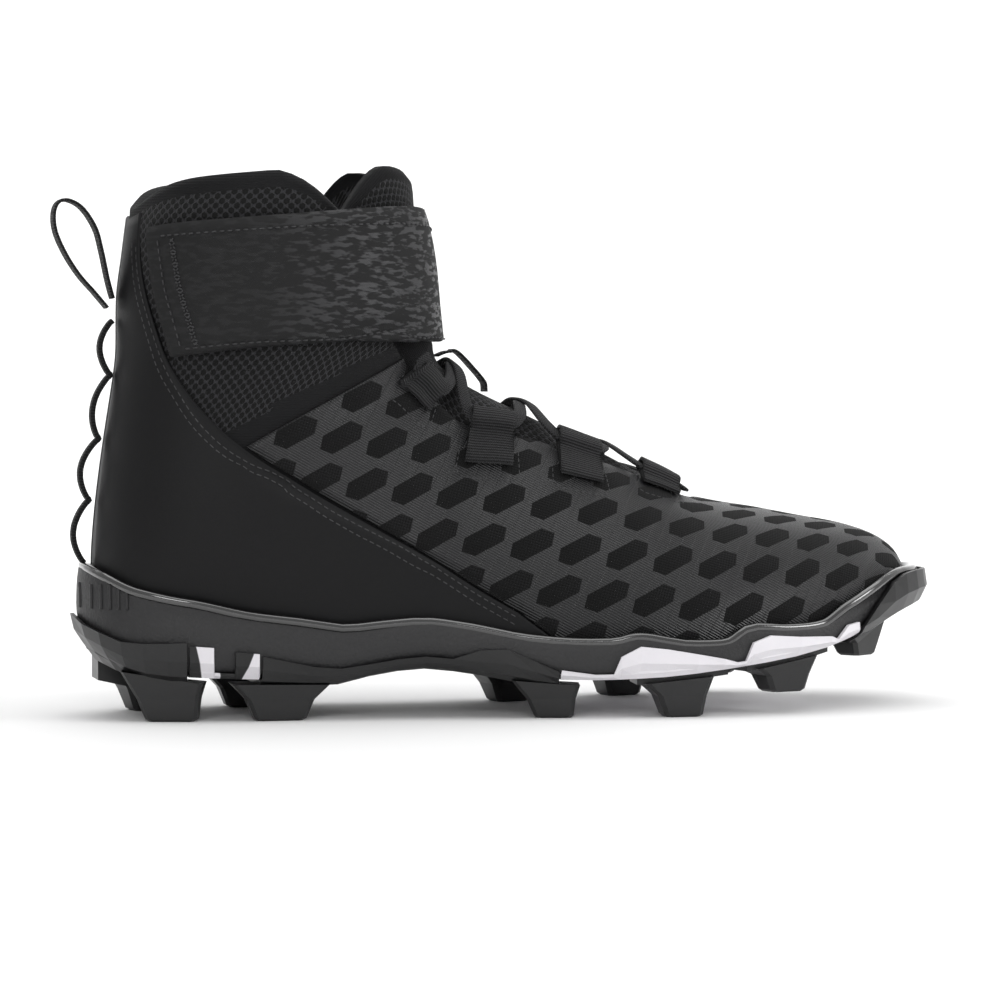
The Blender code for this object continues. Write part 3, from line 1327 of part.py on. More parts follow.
def main():
    clear_scene()
    shoe = bpy.data.objects.new("shoe", None)
    bpy.context.scene.collection.objects.link(shoe)
    upper = make_upper(shoe)
    quarter = make_quarter(shoe)
    overlay = make_overlay(shoe)
    make_tongue(shoe)
    make_strap(shoe)
    make_loops(shoe)
    make_laces(shoe)
    make_tongue_ribbon(shoe)
    make_pull_loop(shoe)
    make_heel_cord(shoe)
    make_midsole(shoe, [upper, quarter, overlay])
    make_plate(shoe)
    make_pods(shoe)
    make_insole(shoe)
    centre_over_origin(shoe)


main()
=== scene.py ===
"""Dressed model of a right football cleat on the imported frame.

The first half has the shape functions of the last and the sole, and the second half uses them for
finer pieces: the mesh bootie, panels, strap, webbing, laces, sole and stitches.
"""

import math
from collections import namedtuple
from functools import lru_cache

import bpy
import numpy as np
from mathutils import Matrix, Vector
from mathutils.bvhtree import BVHTree


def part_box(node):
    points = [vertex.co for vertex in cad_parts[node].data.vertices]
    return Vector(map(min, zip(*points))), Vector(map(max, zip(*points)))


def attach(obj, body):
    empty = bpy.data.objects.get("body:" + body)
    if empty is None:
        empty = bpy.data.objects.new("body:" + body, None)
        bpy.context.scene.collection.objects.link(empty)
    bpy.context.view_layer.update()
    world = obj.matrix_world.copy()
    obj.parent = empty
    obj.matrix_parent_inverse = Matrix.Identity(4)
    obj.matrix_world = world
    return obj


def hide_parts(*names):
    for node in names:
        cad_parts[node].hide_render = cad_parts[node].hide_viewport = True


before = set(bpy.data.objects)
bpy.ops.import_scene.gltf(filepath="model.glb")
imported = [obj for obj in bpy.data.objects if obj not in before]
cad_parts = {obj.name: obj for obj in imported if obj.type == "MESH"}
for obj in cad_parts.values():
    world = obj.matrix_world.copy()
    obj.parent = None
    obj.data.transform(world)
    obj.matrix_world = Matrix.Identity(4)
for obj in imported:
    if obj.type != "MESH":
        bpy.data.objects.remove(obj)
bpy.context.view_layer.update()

MM = 0.001

# Overall sizes
SOLE_LENGTH = 296.5 * MM
BALL_WIDTH = 106 * MM
STUD_LENGTH = 10.5 * MM

# Heights above the studs, on the outer face of the upper
TOE_BOX_HEIGHT = 53.5 * MM
INSTEP_HEIGHT = 107.5 * MM
COLLAR_HEIGHT = 167 * MM

# Half widths of the upper behind the ball
HEEL_HALF_WIDTH = 31 * MM
ANKLE_HALF_WIDTH = 36 * MM
COLLAR_HALF_WIDTH = 37.5 * MM

# Sole
ARCH_RISE = 6 * MM
TOE_SPRING = 22 * MM
HEEL_BEVEL = 12.5 * MM
SIDEWALL_HEIGHT = 28 * MM
SIDEWALL_UNDERCUT = 6.5 * MM
FEATHER_INSET = 6.3 * MM
POD_THICKNESS = 2.0 * MM
PLATE_THICKNESS = 1.7 * MM
MIDSOLE_HEEL = 8.5 * MM
MIDSOLE_FORE = 3.6 * MM
MIDSOLE_TOE = 2.4 * MM

# Upper
WALL_FOOT = 2.0 * MM
WALL_COLLAR = 4.6 * MM
OVERLAY_THICKNESS = 0.8 * MM
QUARTER_THICKNESS = 1.2 * MM
TONGUE_THICKNESS = 3.4 * MM
TONGUE_OVERLAP = 8 * MM
STRAP_THICKNESS = 2.0 * MM

# Webbing and cords
LOOP_WIDTH = 15 * MM
LOOP_LENGTH = 17 * MM
FIRST_LOOP = 25 * MM
LOOP_PITCH = 31 * MM
LOOP_THICKNESS = 0.9 * MM
LOOP_TUNNEL = 2.4 * MM
LACE_WIDTH = 5 * MM
LACE_THICKNESS = 1.5 * MM
LACE_LIFT = 2.2 * MM
PULL_RIBBON_WIDTH = 9 * MM
PULL_RIBBON_THICKNESS = 1.1 * MM
PULL_LOOP_LENGTH = 38 * MM
HEEL_CORD_WIDTH = 5 * MM
HEEL_CORD_THICKNESS = 1.8 * MM
HEEL_CORD_BULGE = 4.2 * MM
TONGUE_RIBBON_WIDTH = 8 * MM
TONGUE_RIBBON_THICKNESS = 0.9 * MM
TONGUE_RIBBON_RISE = 6.5 * MM

# Clearances
GAP = 0.3 * MM
SHELL_GAP = 0.5 * MM
SEAT_GAP = 0.75 * MM
TONGUE_GAP = 1.0 * MM
STRAP_GAP = 0.6 * MM

LATERAL, MEDIAL = -1, 1


@lru_cache(maxsize=None)
def curve_tangents(knots, values):
    """Slopes of the monotone cubic through the points, at each of them."""
    step = np.diff(knots)
    slope = np.diff(values) / step
    tangent = np.zeros(len(knots))
    tangent[0], tangent[-1] = slope[0], slope[-1]
    for i in range(1, len(knots) - 1):
        if slope[i - 1] * slope[i] > 0:
            before = 2 * step[i] + step[i - 1]
            after = step[i] + 2 * step[i - 1]
            tangent[i] = (before + after) / (before / slope[i - 1] + after / slope[i])
    return tangent


def smooth(knots, values, x):
    """Monotone cubic through a table's points."""
    tangent = curve_tangents(tuple(knots), tuple(values))
    knots, values = np.array(knots, float), np.array(values, float)
    step = np.diff(knots)
    x = np.clip(x, knots[0], knots[-1])
    i = np.clip(np.searchsorted(knots, x) - 1, 0, len(step) - 1)
    t = (x - knots[i]) / step[i]
    rise = step[i] * (tangent[i] * t * (1 - t) ** 2 - tangent[i + 1] * t * t * (1 - t))
    return values[i] + (values[i + 1] - values[i]) * t * t * (3 - 2 * t) + rise


def table(names, *rows):
    """Columns by name from rows of numbers."""
    return dict(zip(names.split(), zip(*rows)))


def read(columns, name, place):
    """Monotone cubic through one column of a table against its first."""
    return smooth(next(iter(columns.values())), columns[name], place)


def between(a, b, share):
    return a + (b - a) * share


def running_length(points):
    """Length along a line of points from its start to each."""
    return np.concatenate([[0], np.cumsum(np.linalg.norm(np.diff(points, axis=0), axis=1))])


# Sole outline in plan. x is a share of the sole's length, and the sides are shares of the ball's width.
OUTLINE = table(
    "x lateral medial",
    (0.000, 0.000, 0.000),
    (0.030, 0.212, 0.212),
    (0.100, 0.306, 0.311),
    (0.180, 0.333, 0.335),
    (0.280, 0.345, 0.330),
    (0.380, 0.372, 0.303),
    (0.460, 0.418, 0.312),
    (0.540, 0.468, 0.360),
    (0.620, 0.502, 0.425),
    (0.690, 0.509, 0.472),
    (0.760, 0.486, 0.480),
    (0.830, 0.434, 0.448),
    (0.900, 0.338, 0.370),
    (0.950, 0.228, 0.268),
    (0.985, 0.104, 0.158),
    (1.000, -0.030, 0.030),
)

# Rocker of the underside along the sole: shares of arch rise, toe spring and heel bevel.
ROCKER = table(
    "x arch spring bevel",
    (0.000, 0.00, 0.00, 1.00),
    (0.017, 0.05, 0.00, 0.72),
    (0.057, 0.15, 0.00, 0.24),
    (0.107, 0.27, 0.00, 0.04),
    (0.187, 0.20, 0.00, 0.00),
    (0.267, 0.15, 0.00, 0.00),
    (0.327, 0.75, 0.00, 0.00),
    (0.372, 1.00, 0.00, 0.00),
    (0.417, 0.78, 0.00, 0.00),
    (0.487, 0.18, 0.00, 0.00),
    (0.547, 0.00, 0.00, 0.00),
    (0.627, 0.00, 0.03, 0.00),
    (0.707, 0.00, 0.14, 0.00),
    (0.787, 0.00, 0.28, 0.00),
    (0.847, 0.00, 0.45, 0.00),
    (0.897, 0.00, 0.66, 0.00),
    (0.947, 0.00, 0.90, 0.00),
    (1.000, 0.00, 1.06, 0.00),
)

# Top edge of the midsole's side, as a share of the side wall's full height at the heel.
LIP = table(
    "x height",
    (0.000, 1.00), (0.047, 1.03), (0.107, 0.98), (0.177, 0.85), (0.242, 0.77),
    (0.327, 0.62), (0.437, 0.57), (0.577, 0.55), (0.602, 0.60), (0.667, 0.46),
    (0.707, 0.42), (0.737, 0.55), (0.787, 0.46), (0.832, 0.40), (0.862, 0.52),
    (0.917, 0.60), (1.000, 0.46),
)

# Side wall: how far each level of it stands in from the outline, as a share of the undercut.
WALL = table(
    "level inset",
    (0.00, 1.0), (0.14, 0.42), (0.34, 0.08), (0.52, 0.0), (0.8, 0.04),
    (1.0, 0.15),
)

# Sections of the last, toe to collar. x is a share of the sole's length; a level counts 1 at the
# toe box, 2 at the instep and 3 at the collar, and 0 is the footbed. Widest is the share of the
# section where it is widest, fullness how far that bulges past the feather line, heel, ankle and
# collar are shares of those half widths, and power is the superellipse's.
SECTIONS = table(
    "base_x base ridge_x ridge widest fullness heel ankle collar centre power",
    (0.855, 0.00, 0.970, 0.580, 0.03, 1.000, 0, 0, 0, 0.028, 1.50),
    (0.853, 0.00, 0.975, 0.665, 0.03, 1.000, 0, 0, 0, 0.028, 1.60),
    (0.847, 0.00, 0.966, 0.762, 0.06, 1.005, 0, 0, 0, 0.028, 1.75),
    (0.838, 0.00, 0.943, 0.860, 0.10, 1.010, 0, 0, 0, 0.027, 1.95),
    (0.825, 0.00, 0.898, 0.945, 0.15, 1.015, 0, 0, 0, 0.026, 2.12),
    (0.802, 0.00, 0.843, 1.000, 0.20, 1.025, 0, 0, 0, 0.023, 2.22),
    (0.767, 0.00, 0.790, 1.055, 0.24, 1.035, 0, 0, 0, 0.018, 2.22),
    (0.729, 0.00, 0.744, 1.095, 0.26, 1.035, 0, 0, 0, 0.012, 2.20),
    (0.689, 0.00, 0.701, 1.150, 0.27, 1.035, 0, 0, 0, 0.008, 2.10),
    (0.639, 0.00, 0.651, 1.300, 0.27, 1.035, 0, 0, 0, 0.006, 2.05),
    (0.589, 0.00, 0.603, 1.440, 0.27, 1.035, 0, 0.900, 0, 0.005, 2.00),
    (0.539, 0.00, 0.557, 1.565, 0.28, 1.035, 0, 0.950, 0, 0.004, 1.95),
    (0.483, 0.00, 0.510, 1.690, 0.29, 1.035, 0, 0.935, 0, 0.004, 1.95),
    (0.423, 0.00, 0.467, 1.800, 0.31, 1.035, 0, 0.935, 0, 0.004, 1.95),
    (0.356, 0.00, 0.437, 1.890, 0.34, 1.035, 0, 0.950, 0, 0.004, 1.95),
    (0.283, 0.00, 0.420, 1.960, 0.38, 1.035, 0, 0.975, 0, 0.002, 2.00),
    (0.202, 0.00, 0.412, 2.010, 0.42, 1.020, 0, 0.995, 0, 0, 2.05),
    (0.128, 0.00, 0.409, 2.040, 0.44, 1.015, 0.20, 0.838, 0, 0, 2.10),
    (0.070, 0.00, 0.408, 2.060, 0.44, 1.010, 0.40, 0.671, 0, 0, 2.15),
    (0.0300, 0.00, 0.407, 2.080, 0.43, 1.005, 0.50, 0.579, 0, 0, 2.20),
    (0.0221, 0.300, 0.407, 2.100, 0.42, 1.000, 0.50, 0.569, 0, 0, 2.20),
    (0.0174, 0.560, 0.406, 2.120, 0.41, 1.000, 0.60, 0.473, 0, 0, 2.25),
    (0.0198, 0.870, 0.405, 2.145, 0.41, 1.000, 0.60, 0.473, 0, 0, 2.25),
    (0.0295, 1.350, 0.404, 2.185, 0.43, 1.000, 0.40, 0.646, 0, 0, 2.20),
    (0.0446, 1.760, 0.403, 2.240, 0.45, 1.000, 0.10, 0.904, 0, 0, 2.15),
    (0.0513, 2.050, 0.401, 2.320, 0.47, 1.000, 0, 0.80, 0.20, 0, 2.15),
    (0.0520, 2.330, 0.397, 2.530, 0.48, 1.000, 0, 0.40, 0.60, 0, 2.15),
    (0.0587, 2.610, 0.389, 2.760, 0.49, 1.000, 0, 0, 1.00, 0, 2.15),
    (0.0660, 2.870, 0.379, 3.000, 0.50, 1.000, 0, 0, 1.02, 0, 2.15),
)
SECTION_ROWS = tuple(range(len(SECTIONS["ridge"])))
HEEL_CORNER_ROW = 20.0
THROAT_ROW = 7.45
COLLAR_ROW = SECTION_ROWS[-1]
COLLAR_BOW = 0.045

# The throat's edge: its distance from the last's own middle, as a share of the ball's width.
THROAT_EDGE = table(
    "row half_width",
    (7.0, 0.040), (7.45, 0.085), (8.0, 0.140), (8.6, 0.178), (9.2, 0.200),
    (10.0, 0.212), (12.0, 0.215), (16.0, 0.216), (20.0, 0.220), (22.0, 0.228),
    (23.0, 0.240), (24.0, 0.262), (25.0, 0.285), (26.0, 0.305), (27.0, 0.325),
    (28.0, 0.338),
)

# Edges that cross the sections, as a share of each section from its base to its ridge.
QUARTER_FIRST_ROW = 11.4
QUARTER_LAST_ROW = 27.7
QUARTER_EDGE = table(
    "row share",
    (0.0, 0.30), (7.45, 0.28), (11.4, 0.075), (12.0, 0.155), (13.0, 0.235),
    (14.0, 0.322), (15.0, 0.400), (16.0, 0.450), (17.0, 0.489), (18.0, 0.519),
    (19.0, 0.533), (20.0, 0.530), (21.0, 0.493), (22.0, 0.414), (23.0, 0.280),
    (24.0, 0.165), (25.0, 0.103), (26.0, 0.062), (27.0, 0.030), (28.0, 0.020),
)
QUARTER_SEAM = 0.010
OVERLAY_LAST_ROW = 22.1
STRAP_FIRST_ROW = 24.95
STRAP_LAST_ROW = 27.35
STRAP_END = table("row share", (24.95, 0.135), (26.2, 0.090), (27.35, 0.055))
# Height of the strap's lower edge, as a share of the collar's, by its share of the way to the front.
STRAP_LOW_EDGE = table("way height", (0.0, 0.655), (0.35, 0.680), (0.7, 0.686), (1.0, 0.684))

# The collar's and the tongue's corners dip where they meet at the top.
CORNER_DIP = 0.8
CORNER_DIP_FIRST_ROW = 26.0
CORNER_DIP_REACH = 0.15


def underside(x):
    """Height of the pods' underside at x."""
    share = np.asarray(x, float) / SOLE_LENGTH
    rises = (ARCH_RISE, "arch"), (TOE_SPRING, "spring"), (HEEL_BEVEL, "bevel")
    return STUD_LENGTH + sum(size * read(ROCKER, name, share) for size, name in rises)


def midsole_floor(x):
    """Underside of the midsole, above pods and plate."""
    return underside(x) + POD_THICKNESS + PLATE_THICKNESS + 2 * GAP


def footbed(x):
    """Top of the midsole inside the shoe. It flattens the heel's bevel and the arch that show outside."""
    share = np.asarray(x, float) / SOLE_LENGTH
    bevel = HEEL_BEVEL * read(ROCKER, "bevel", share)
    arch = ARCH_RISE * read(ROCKER, "arch", share)
    depths = [MIDSOLE_HEEL, MIDSOLE_HEEL * 0.76, MIDSOLE_FORE, MIDSOLE_FORE, MIDSOLE_TOE]
    return midsole_floor(x) - 0.75 * bevel - 0.5 * arch + smooth([0, 0.3, 0.6, 0.85, 1], depths, share)


def lip_height(x):
    share = np.asarray(x, float) / SOLE_LENGTH
    return underside(x) + SIDEWALL_HEIGHT * read(LIP, "height", share)


def station(share):
    """The outline's own parameter at a share of the length. It runs finer round heel and toe."""
    return np.arccos(1 - 2 * np.asarray(share, float)) / math.pi


def outline_point(s, side):
    x = SOLE_LENGTH * (1 - np.cos(math.pi * np.asarray(s, float))) / 2
    widths = OUTLINE["lateral" if side == LATERAL else "medial"]
    return x, side * BALL_WIDTH * smooth(station(OUTLINE["x"]), widths, s)


def rim_point(s, side, inset, z):
    """A point on the outline's side at one height, moved in from it by inset."""
    step = 1e-3
    s = np.asarray(s, float)
    x0, y0 = outline_point(np.abs(s - step), side)
    x1, y1 = outline_point(1 - np.abs(1 - s - step), side)
    y0 = np.where(s < step, -y0, y0)
    x, y = outline_point(s, side)
    tip_y = outline_point(1.0, side)[1]
    y1 = np.where(s > 1 - step, 2 * tip_y - y1, y1)
    reach = side * inset / np.hypot(x1 - x0, y1 - y0)
    return np.stack([x + reach * (y1 - y0), y - reach * (x1 - x0), z + 0 * x], -1)


def wall_point(s, side, z):
    """A point on the sole's side wall at height z."""
    x, _ = outline_point(s, side)
    level = np.clip((z - underside(x)) / (lip_height(x) - underside(x)), 0, 1)
    return rim_point(s, side, SIDEWALL_UNDERCUT * read(WALL, "inset", level), z)


@lru_cache(maxsize=None)
def feather_line(side):
    """Line in plan on which the upper meets the footbed, as x and y."""
    return rim_point(np.linspace(0, 1, 241), side, FEATHER_INSET, 0.0).T[:2]


def floor_corner(s, side):
    """Where the midsole's floor meets the side wall, at the height that the floor has right there."""
    point = wall_point(s, side, midsole_floor(outline_point(s, side)[0]))
    point[2] = midsole_floor(point[0])
    return point


def level_height(level):
    """Height of a level: 1 at the toe box, 2 at the instep and 3 at the collar."""
    return STUD_LENGTH + np.interp(level, [0, 1, 2, 3], [0, TOE_BOX_HEIGHT, INSTEP_HEIGHT, COLLAR_HEIGHT])


def section_values(u):
    return {name: smooth(SECTION_ROWS, values, u) for name, values in SECTIONS.items()}


def section_frame(u):
    """Base point, ridge point and shape of the section at row u."""
    c = section_values(u)
    base_x = SOLE_LENGTH * c["base_x"]
    base_z = np.maximum(footbed(base_x) + SEAT_GAP, level_height(c["base"]))
    ridge_x, ridge_z = SOLE_LENGTH * c["ridge_x"], level_height(c["ridge"])
    centre = BALL_WIDTH * c["centre"]
    own = HEEL_HALF_WIDTH * c["heel"] + ANKLE_HALF_WIDTH * c["ankle"] + COLLAR_HALF_WIDTH * c["collar"]
    return c, base_x, base_z, ridge_x, ridge_z, centre, own


def section_widths(u, side):
    """Greatest half width on one side, and the angle below it where the section starts."""
    c, base_x, _, _, _, centre, own = section_frame(u)
    feather = side * (np.interp(base_x, *feather_line(side)) - centre)
    closed = np.asarray(u, float) >= HEEL_CORNER_ROW
    feather = np.where(closed | (feather < 0), 0.0, feather)
    width = np.maximum(feather * c["fullness"], own)
    foot = np.clip(feather / width, 0, 0.995)
    return width, np.arccos(foot ** (c["power"] / 2))


def section_point(u, side, angle, start):
    """Point of the last on row u. The angle runs from -start at the base to a right angle at the ridge."""
    c, base_x, base_z, ridge_x, ridge_z, centre, _ = section_frame(u)
    width, _ = section_widths(u, side)
    power = 2 / c["power"]
    rise = np.abs(np.sin(angle)) ** power
    below = c["widest"] * (1 - rise / np.maximum(np.sin(start), 1e-6) ** power)
    above = c["widest"] + (1 - c["widest"]) * rise
    share = np.where(angle < 0, below, above)
    bow = COLLAR_HEIGHT * COLLAR_BOW * np.clip(u - (COLLAR_ROW - 1), 0, 1) * (1 - (2 * share - 1) ** 8)
    x = between(base_x, ridge_x, share)
    z = between(base_z, ridge_z, share) + bow
    y = centre + side * width * np.abs(np.cos(angle)) ** power
    return np.stack([x, y, z], -1)


def last_surface(u, v):
    """Point of the last at row u; v runs from 0, lateral base, over 1, the ridge, to 2, medial base."""
    u, v = np.broadcast_arrays(np.asarray(u, float), np.asarray(v, float))
    v = np.where(v < 0, v + 2, np.where(v > 2, v - 2, v))
    result = np.zeros(u.shape + (3,))
    for side, chosen, share in ((LATERAL, v <= 1, v), (MEDIAL, v > 1, 2 - v)):
        if chosen.any():
            _, start = section_widths(u[chosen], side)
            angle = -start + share[chosen] * (math.pi / 2 + start)
            result[chosen] = section_point(u[chosen], side, angle, start)
    return result


def last_point(u, v, offset=0.0):
    """Point of the last, moved along its outward normal by offset."""
    u, v = np.broadcast_arrays(np.asarray(u, float), np.asarray(v, float))
    point = last_surface(u, v)
    step_u, step_v = 0.02, 0.004
    open_base = u < HEEL_CORNER_ROW
    v_low = np.where(open_base & (v < step_v), v, v - step_v)
    v_high = np.where(open_base & (v > 2 - step_v), v, v + step_v)
    along = last_surface(np.minimum(u + step_u, COLLAR_ROW), v) - last_surface(np.maximum(u - step_u, 0), v)
    across = last_surface(u, v_high) - last_surface(u, v_low)
    normal = np.cross(across, along)
    normal /= np.maximum(np.linalg.norm(normal, axis=-1, keepdims=True), 1e-12)
    middle = 0.5 * (last_surface(u, 1.0 + 0 * v) + last_surface(u, 0 * v))
    middle[..., 1] = BALL_WIDTH * section_values(u)["centre"]
    outward = np.sum(normal * (point - middle), -1, keepdims=True)
    return point + np.where(outward < 0, -normal, normal) * np.array(offset)[..., None]


def v_of_angle(angle, start, side):
    v = (angle + start) / (math.pi / 2 + start)
    return v if side == LATERAL else 2 - v


def v_of_share(u, side, share):
    """The v that lies at a share of the section on row u."""
    c = section_values(u)
    _, start = section_widths(u, side)
    above = np.clip((share - c["widest"]) / (1 - c["widest"]), 0, 1)
    low = np.clip(1 - share / c["widest"], 0, 1)
    angle_above = np.arcsin(above ** (c["power"] / 2))
    angle_below = -np.arcsin(np.clip(low ** (c["power"] / 2) * np.sin(start), 0, 1))
    angle = np.where(share > c["widest"], angle_above, angle_below)
    return v_of_angle(angle, start, side)


def edge_v(edge, u, side, seam=0.0):
    return float(v_of_share(u, side, read(edge, "share", u) + seam))


def throat_v(u, side):
    """The v of the throat's edge on row u."""
    width, start = section_widths(u, side)
    half = BALL_WIDTH * read(THROAT_EDGE, "half_width", u)
    angle = np.arccos(np.clip(half / width, 0, 1) ** (section_values(u)["power"] / 2))
    return float(v_of_angle(angle, start, side))


def dipped_row(u, v):
    """Row u, lowered near the throat's edge at the top, where collar and tongue part."""
    rise = np.clip((u - CORNER_DIP_FIRST_ROW) / (COLLAR_ROW - CORNER_DIP_FIRST_ROW), 0, 1)
    reach = np.minimum(np.abs(v - throat_v(u, LATERAL)), np.abs(v - throat_v(u, MEDIAL))) / CORNER_DIP_REACH
    return u - CORNER_DIP * rise * np.clip(1 - reach, 0, 1) ** 1.5


def wall_thickness(u):
    """The bootie is thin over the foot and padded round the ankle."""
    return smooth([0, 14, 22, 25, 28], [WALL_FOOT, WALL_FOOT, WALL_FOOT * 1.4, WALL_COLLAR, WALL_COLLAR], u)


def row_list(*stops):
    """Rows through each (stop, spacing) after the first stop, with every stop on a row."""
    rows = [stops[0]]
    for stop, spacing in stops[1:]:
        first, count = rows[-1], max(1, round((stop - rows[-1]) / spacing))
        rows += [first + (stop - first) * i / count for i in range(1, count + 1)]
    return rows


def arc(first, last, cells):
    return list(np.linspace(first, last, cells + 1))


def mm_per_v(u, v):
    """Length along row u for each unit of v."""
    return float(np.linalg.norm(last_surface(u, v + 0.01) - last_surface(u, v - 0.01))) / 0.02


TONGUE_CROWN_REACH = 0.30
STRAP_BASE = STRAP_GAP + SHELL_GAP + QUARTER_THICKNESS


@lru_cache(maxsize=None)
def strap_low_row(v):
    """Row at v on which the strap's lower edge reaches its height."""
    first, last = (edge_v(STRAP_END, STRAP_FIRST_ROW, side) for side in (LATERAL, MEDIAL))
    way = np.interp(v, [first, 1, last], [0, 1, 0])
    share = read(STRAP_LOW_EDGE, "height", way)
    rows = np.arange(HEEL_CORNER_ROW - 1, COLLAR_ROW, 0.5)
    heights = last_point(rows, v + 0 * rows, STRAP_BASE + 0 * rows)[:, 2]
    return float(np.interp(STUD_LENGTH + COLLAR_HEIGHT * share, heights, rows))


# Lace loops, toe to ankle: their reach below and above the throat's edge, as shares of a loop's length.
Loop = namedtuple("Loop", "below above")
LACE_LOOPS = [Loop(0.30, 0.38), Loop(0.66, 0.38), Loop(0.66, 0.38), Loop(0.30, 0.38)]


def loop_profile(below, above):
    """Webbing doubled over a tunnel, as (along the section, out from the last) pairs, outside and tunnel."""
    base, thick, high = 3 * GAP + OVERLAY_THICKNESS + SHELL_GAP, LOOP_THICKNESS, LOOP_TUNNEL
    top = base + 2 * thick + high
    outside = [
        (-below, base),
        (0.3 * above, base),
        (above - 0.4 * high, base),
        (above, base + thick + high / 2),
        (above - 0.4 * high, top),
        (0.1 * above, top),
        (-0.35 * above, base + 1.9 * thick),
        (-below, base + 1.8 * thick),
    ]
    tunnel = [
        (-0.05 * above, base + thick + 0.3 * high),
        (0.3 * above, base + thick),
        (above - 0.4 * high - thick, base + thick),
        (above - thick, base + thick + high / 2),
        (above - 0.4 * high - thick, top - thick),
        (0.3 * above, top - thick),
        (0.1 * above, top - thick - 0.2 * high),
        (-0.05 * above, base + thick + 0.5 * high),
    ]
    return outside + outside[:1], tunnel + tunnel[:1]


def above_throat(u, side, along):
    """The v at a length along row u above the throat's edge."""
    edge = throat_v(u, side)
    return edge - side * along / mm_per_v(u, edge)


@lru_cache(maxsize=None)
def throat_lengths(side):
    """Rows up the throat's edge, and the length along it from its front end to each."""
    rows = np.arange(THROAT_ROW, HEEL_CORNER_ROW + 1, 0.1)
    edge = np.array([last_surface(u, throat_v(u, side)) for u in rows])
    return rows, running_length(edge)


def throat_row(length, side):
    """The row on which the throat's edge has come this far from its front end."""
    rows, lengths = throat_lengths(side)
    return float(np.interp(length, lengths, rows))


def lace_place(length, side):
    """(row, v) where a lace leaves a loop's tunnel at this length up the throat's edge."""
    u = throat_row(length, side)
    return u, above_throat(u, side, 0.4 * LOOP_LENGTH * LACE_LOOPS[0].above)


# Pull loop at the back, as shares of its length back from and up from its foot on the heel's seam.
Route = namedtuple("Route", "back up")
PULL_FOOT = 0.81
PULL_ROUTE = [
    Route(0.010, 0.05), Route(0.055, 0.22), Route(0.105, 0.46), Route(0.160, 0.66), Route(0.270, 0.83),
    Route(0.385, 0.90), Route(0.475, 0.89), Route(0.520, 0.80), Route(0.510, 0.64), Route(0.430, 0.45),
    Route(0.310, 0.26), Route(0.170, 0.10), Route(0.060, -0.03),
]


def back_x(z):
    """Rear face of the heel's panel at height z."""
    rows = np.arange(HEEL_CORNER_ROW, COLLAR_ROW, 0.1)
    x, _, height = last_surface(rows, 0 * rows).T
    return float(np.interp(z, height, x)) - GAP - QUARTER_THICKNESS


CORD_TACKS = [0.775, 0.66, 0.525, 0.395, 0.262]
TONGUE_RIBBON_ENDS = (16.6, 12.95)


# Finer pieces

THREAD_RADIUS = 0.28 * MM
STITCH_PITCH = 2.6 * MM
STITCH_LENGTH = 1.8 * MM
CLOSE_STITCH_PITCH = 2.2 * MM


def shift_to_frame():
    """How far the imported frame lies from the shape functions' own place."""
    rows = np.linspace(HEEL_CORNER_ROW, COLLAR_ROW, 60)
    back = last_surface(rows, 0 * rows)[:, 0].min()
    low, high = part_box("pull_loop")
    return np.array([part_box("upper")[0][0] - back, (low[1] + high[1]) / 2, 0.0])


SHIFT = shift_to_frame()


def keep_piece(obj, material, *nodes, more=()):
    """Gives a new piece its materials and its body, and hides the nodes that it stands for."""
    for each in (material, *more):
        obj.data.materials.append(each)
    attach(obj, "root")
    if nodes:
        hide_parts(*nodes)
    return obj


def mesh_object(name, points, faces, uvs=None):
    mesh = bpy.data.meshes.new(name)
    mesh.from_pydata([tuple(p) for p in np.asarray(points) + SHIFT], [], faces)
    if uvs is not None:
        layer = mesh.uv_layers.new(name="length")
        index = np.empty(len(mesh.loops), int)
        mesh.loops.foreach_get("vertex_index", index)
        layer.data.foreach_set("uv", np.asarray(uvs, float)[index].ravel())
    mesh.update()
    mesh.polygons.foreach_set("use_smooth", [True] * len(mesh.polygons))
    obj = bpy.data.objects.new(name, mesh)
    bpy.context.scene.collection.objects.link(obj)
    return obj


def fine_grid(rows, columns_of, offset, row_of=None):
    """Grid of points on the last, worked out in one go."""
    v = np.array([columns_of(u) for u in rows])
    lifted = np.array([np.broadcast_to(offset(u), v.shape[1]) for u in rows])
    u = np.repeat(np.array(rows, float)[:, None], v.shape[1], 1)
    if row_of is not None:
        u = np.array([row_of(row, places) for row, places in zip(rows, v)])
    return last_point(u.ravel(), v.ravel(), lifted.ravel()).reshape(*v.shape, 3)


def seat(grid, rows, reach=6):
    """Brings the open base of the foot's rows down to the footbed, and closes the back above it."""
    for i, u in enumerate(rows):
        if u < HEEL_CORNER_ROW:
            for edge, step in ((0, 1), (-1, -1)):
                fall = footbed(grid[i, edge, 0]) + SEAT_GAP - grid[i, edge, 2]
                for k in range(reach):
                    grid[i, edge + step * k, 2] += fall * (1 - k / reach) ** 2
        else:
            middle = (grid[i, 0] + grid[i, -1]) / 2
            middle[1] = 0.0
            grid[i, 0] = grid[i, -1] = middle


def lengths_along(grid, axis, weights=(1, 1, 1)):
    """Running length through the grid along an axis, counting each coordinate by its weight."""
    run = np.cumsum(np.linalg.norm(np.diff(grid * np.array(weights), axis=axis), axis=2), axis=axis)
    return np.pad(run, ((1, 0), (0, 0)) if axis == 0 else ((0, 0), (1, 0)))


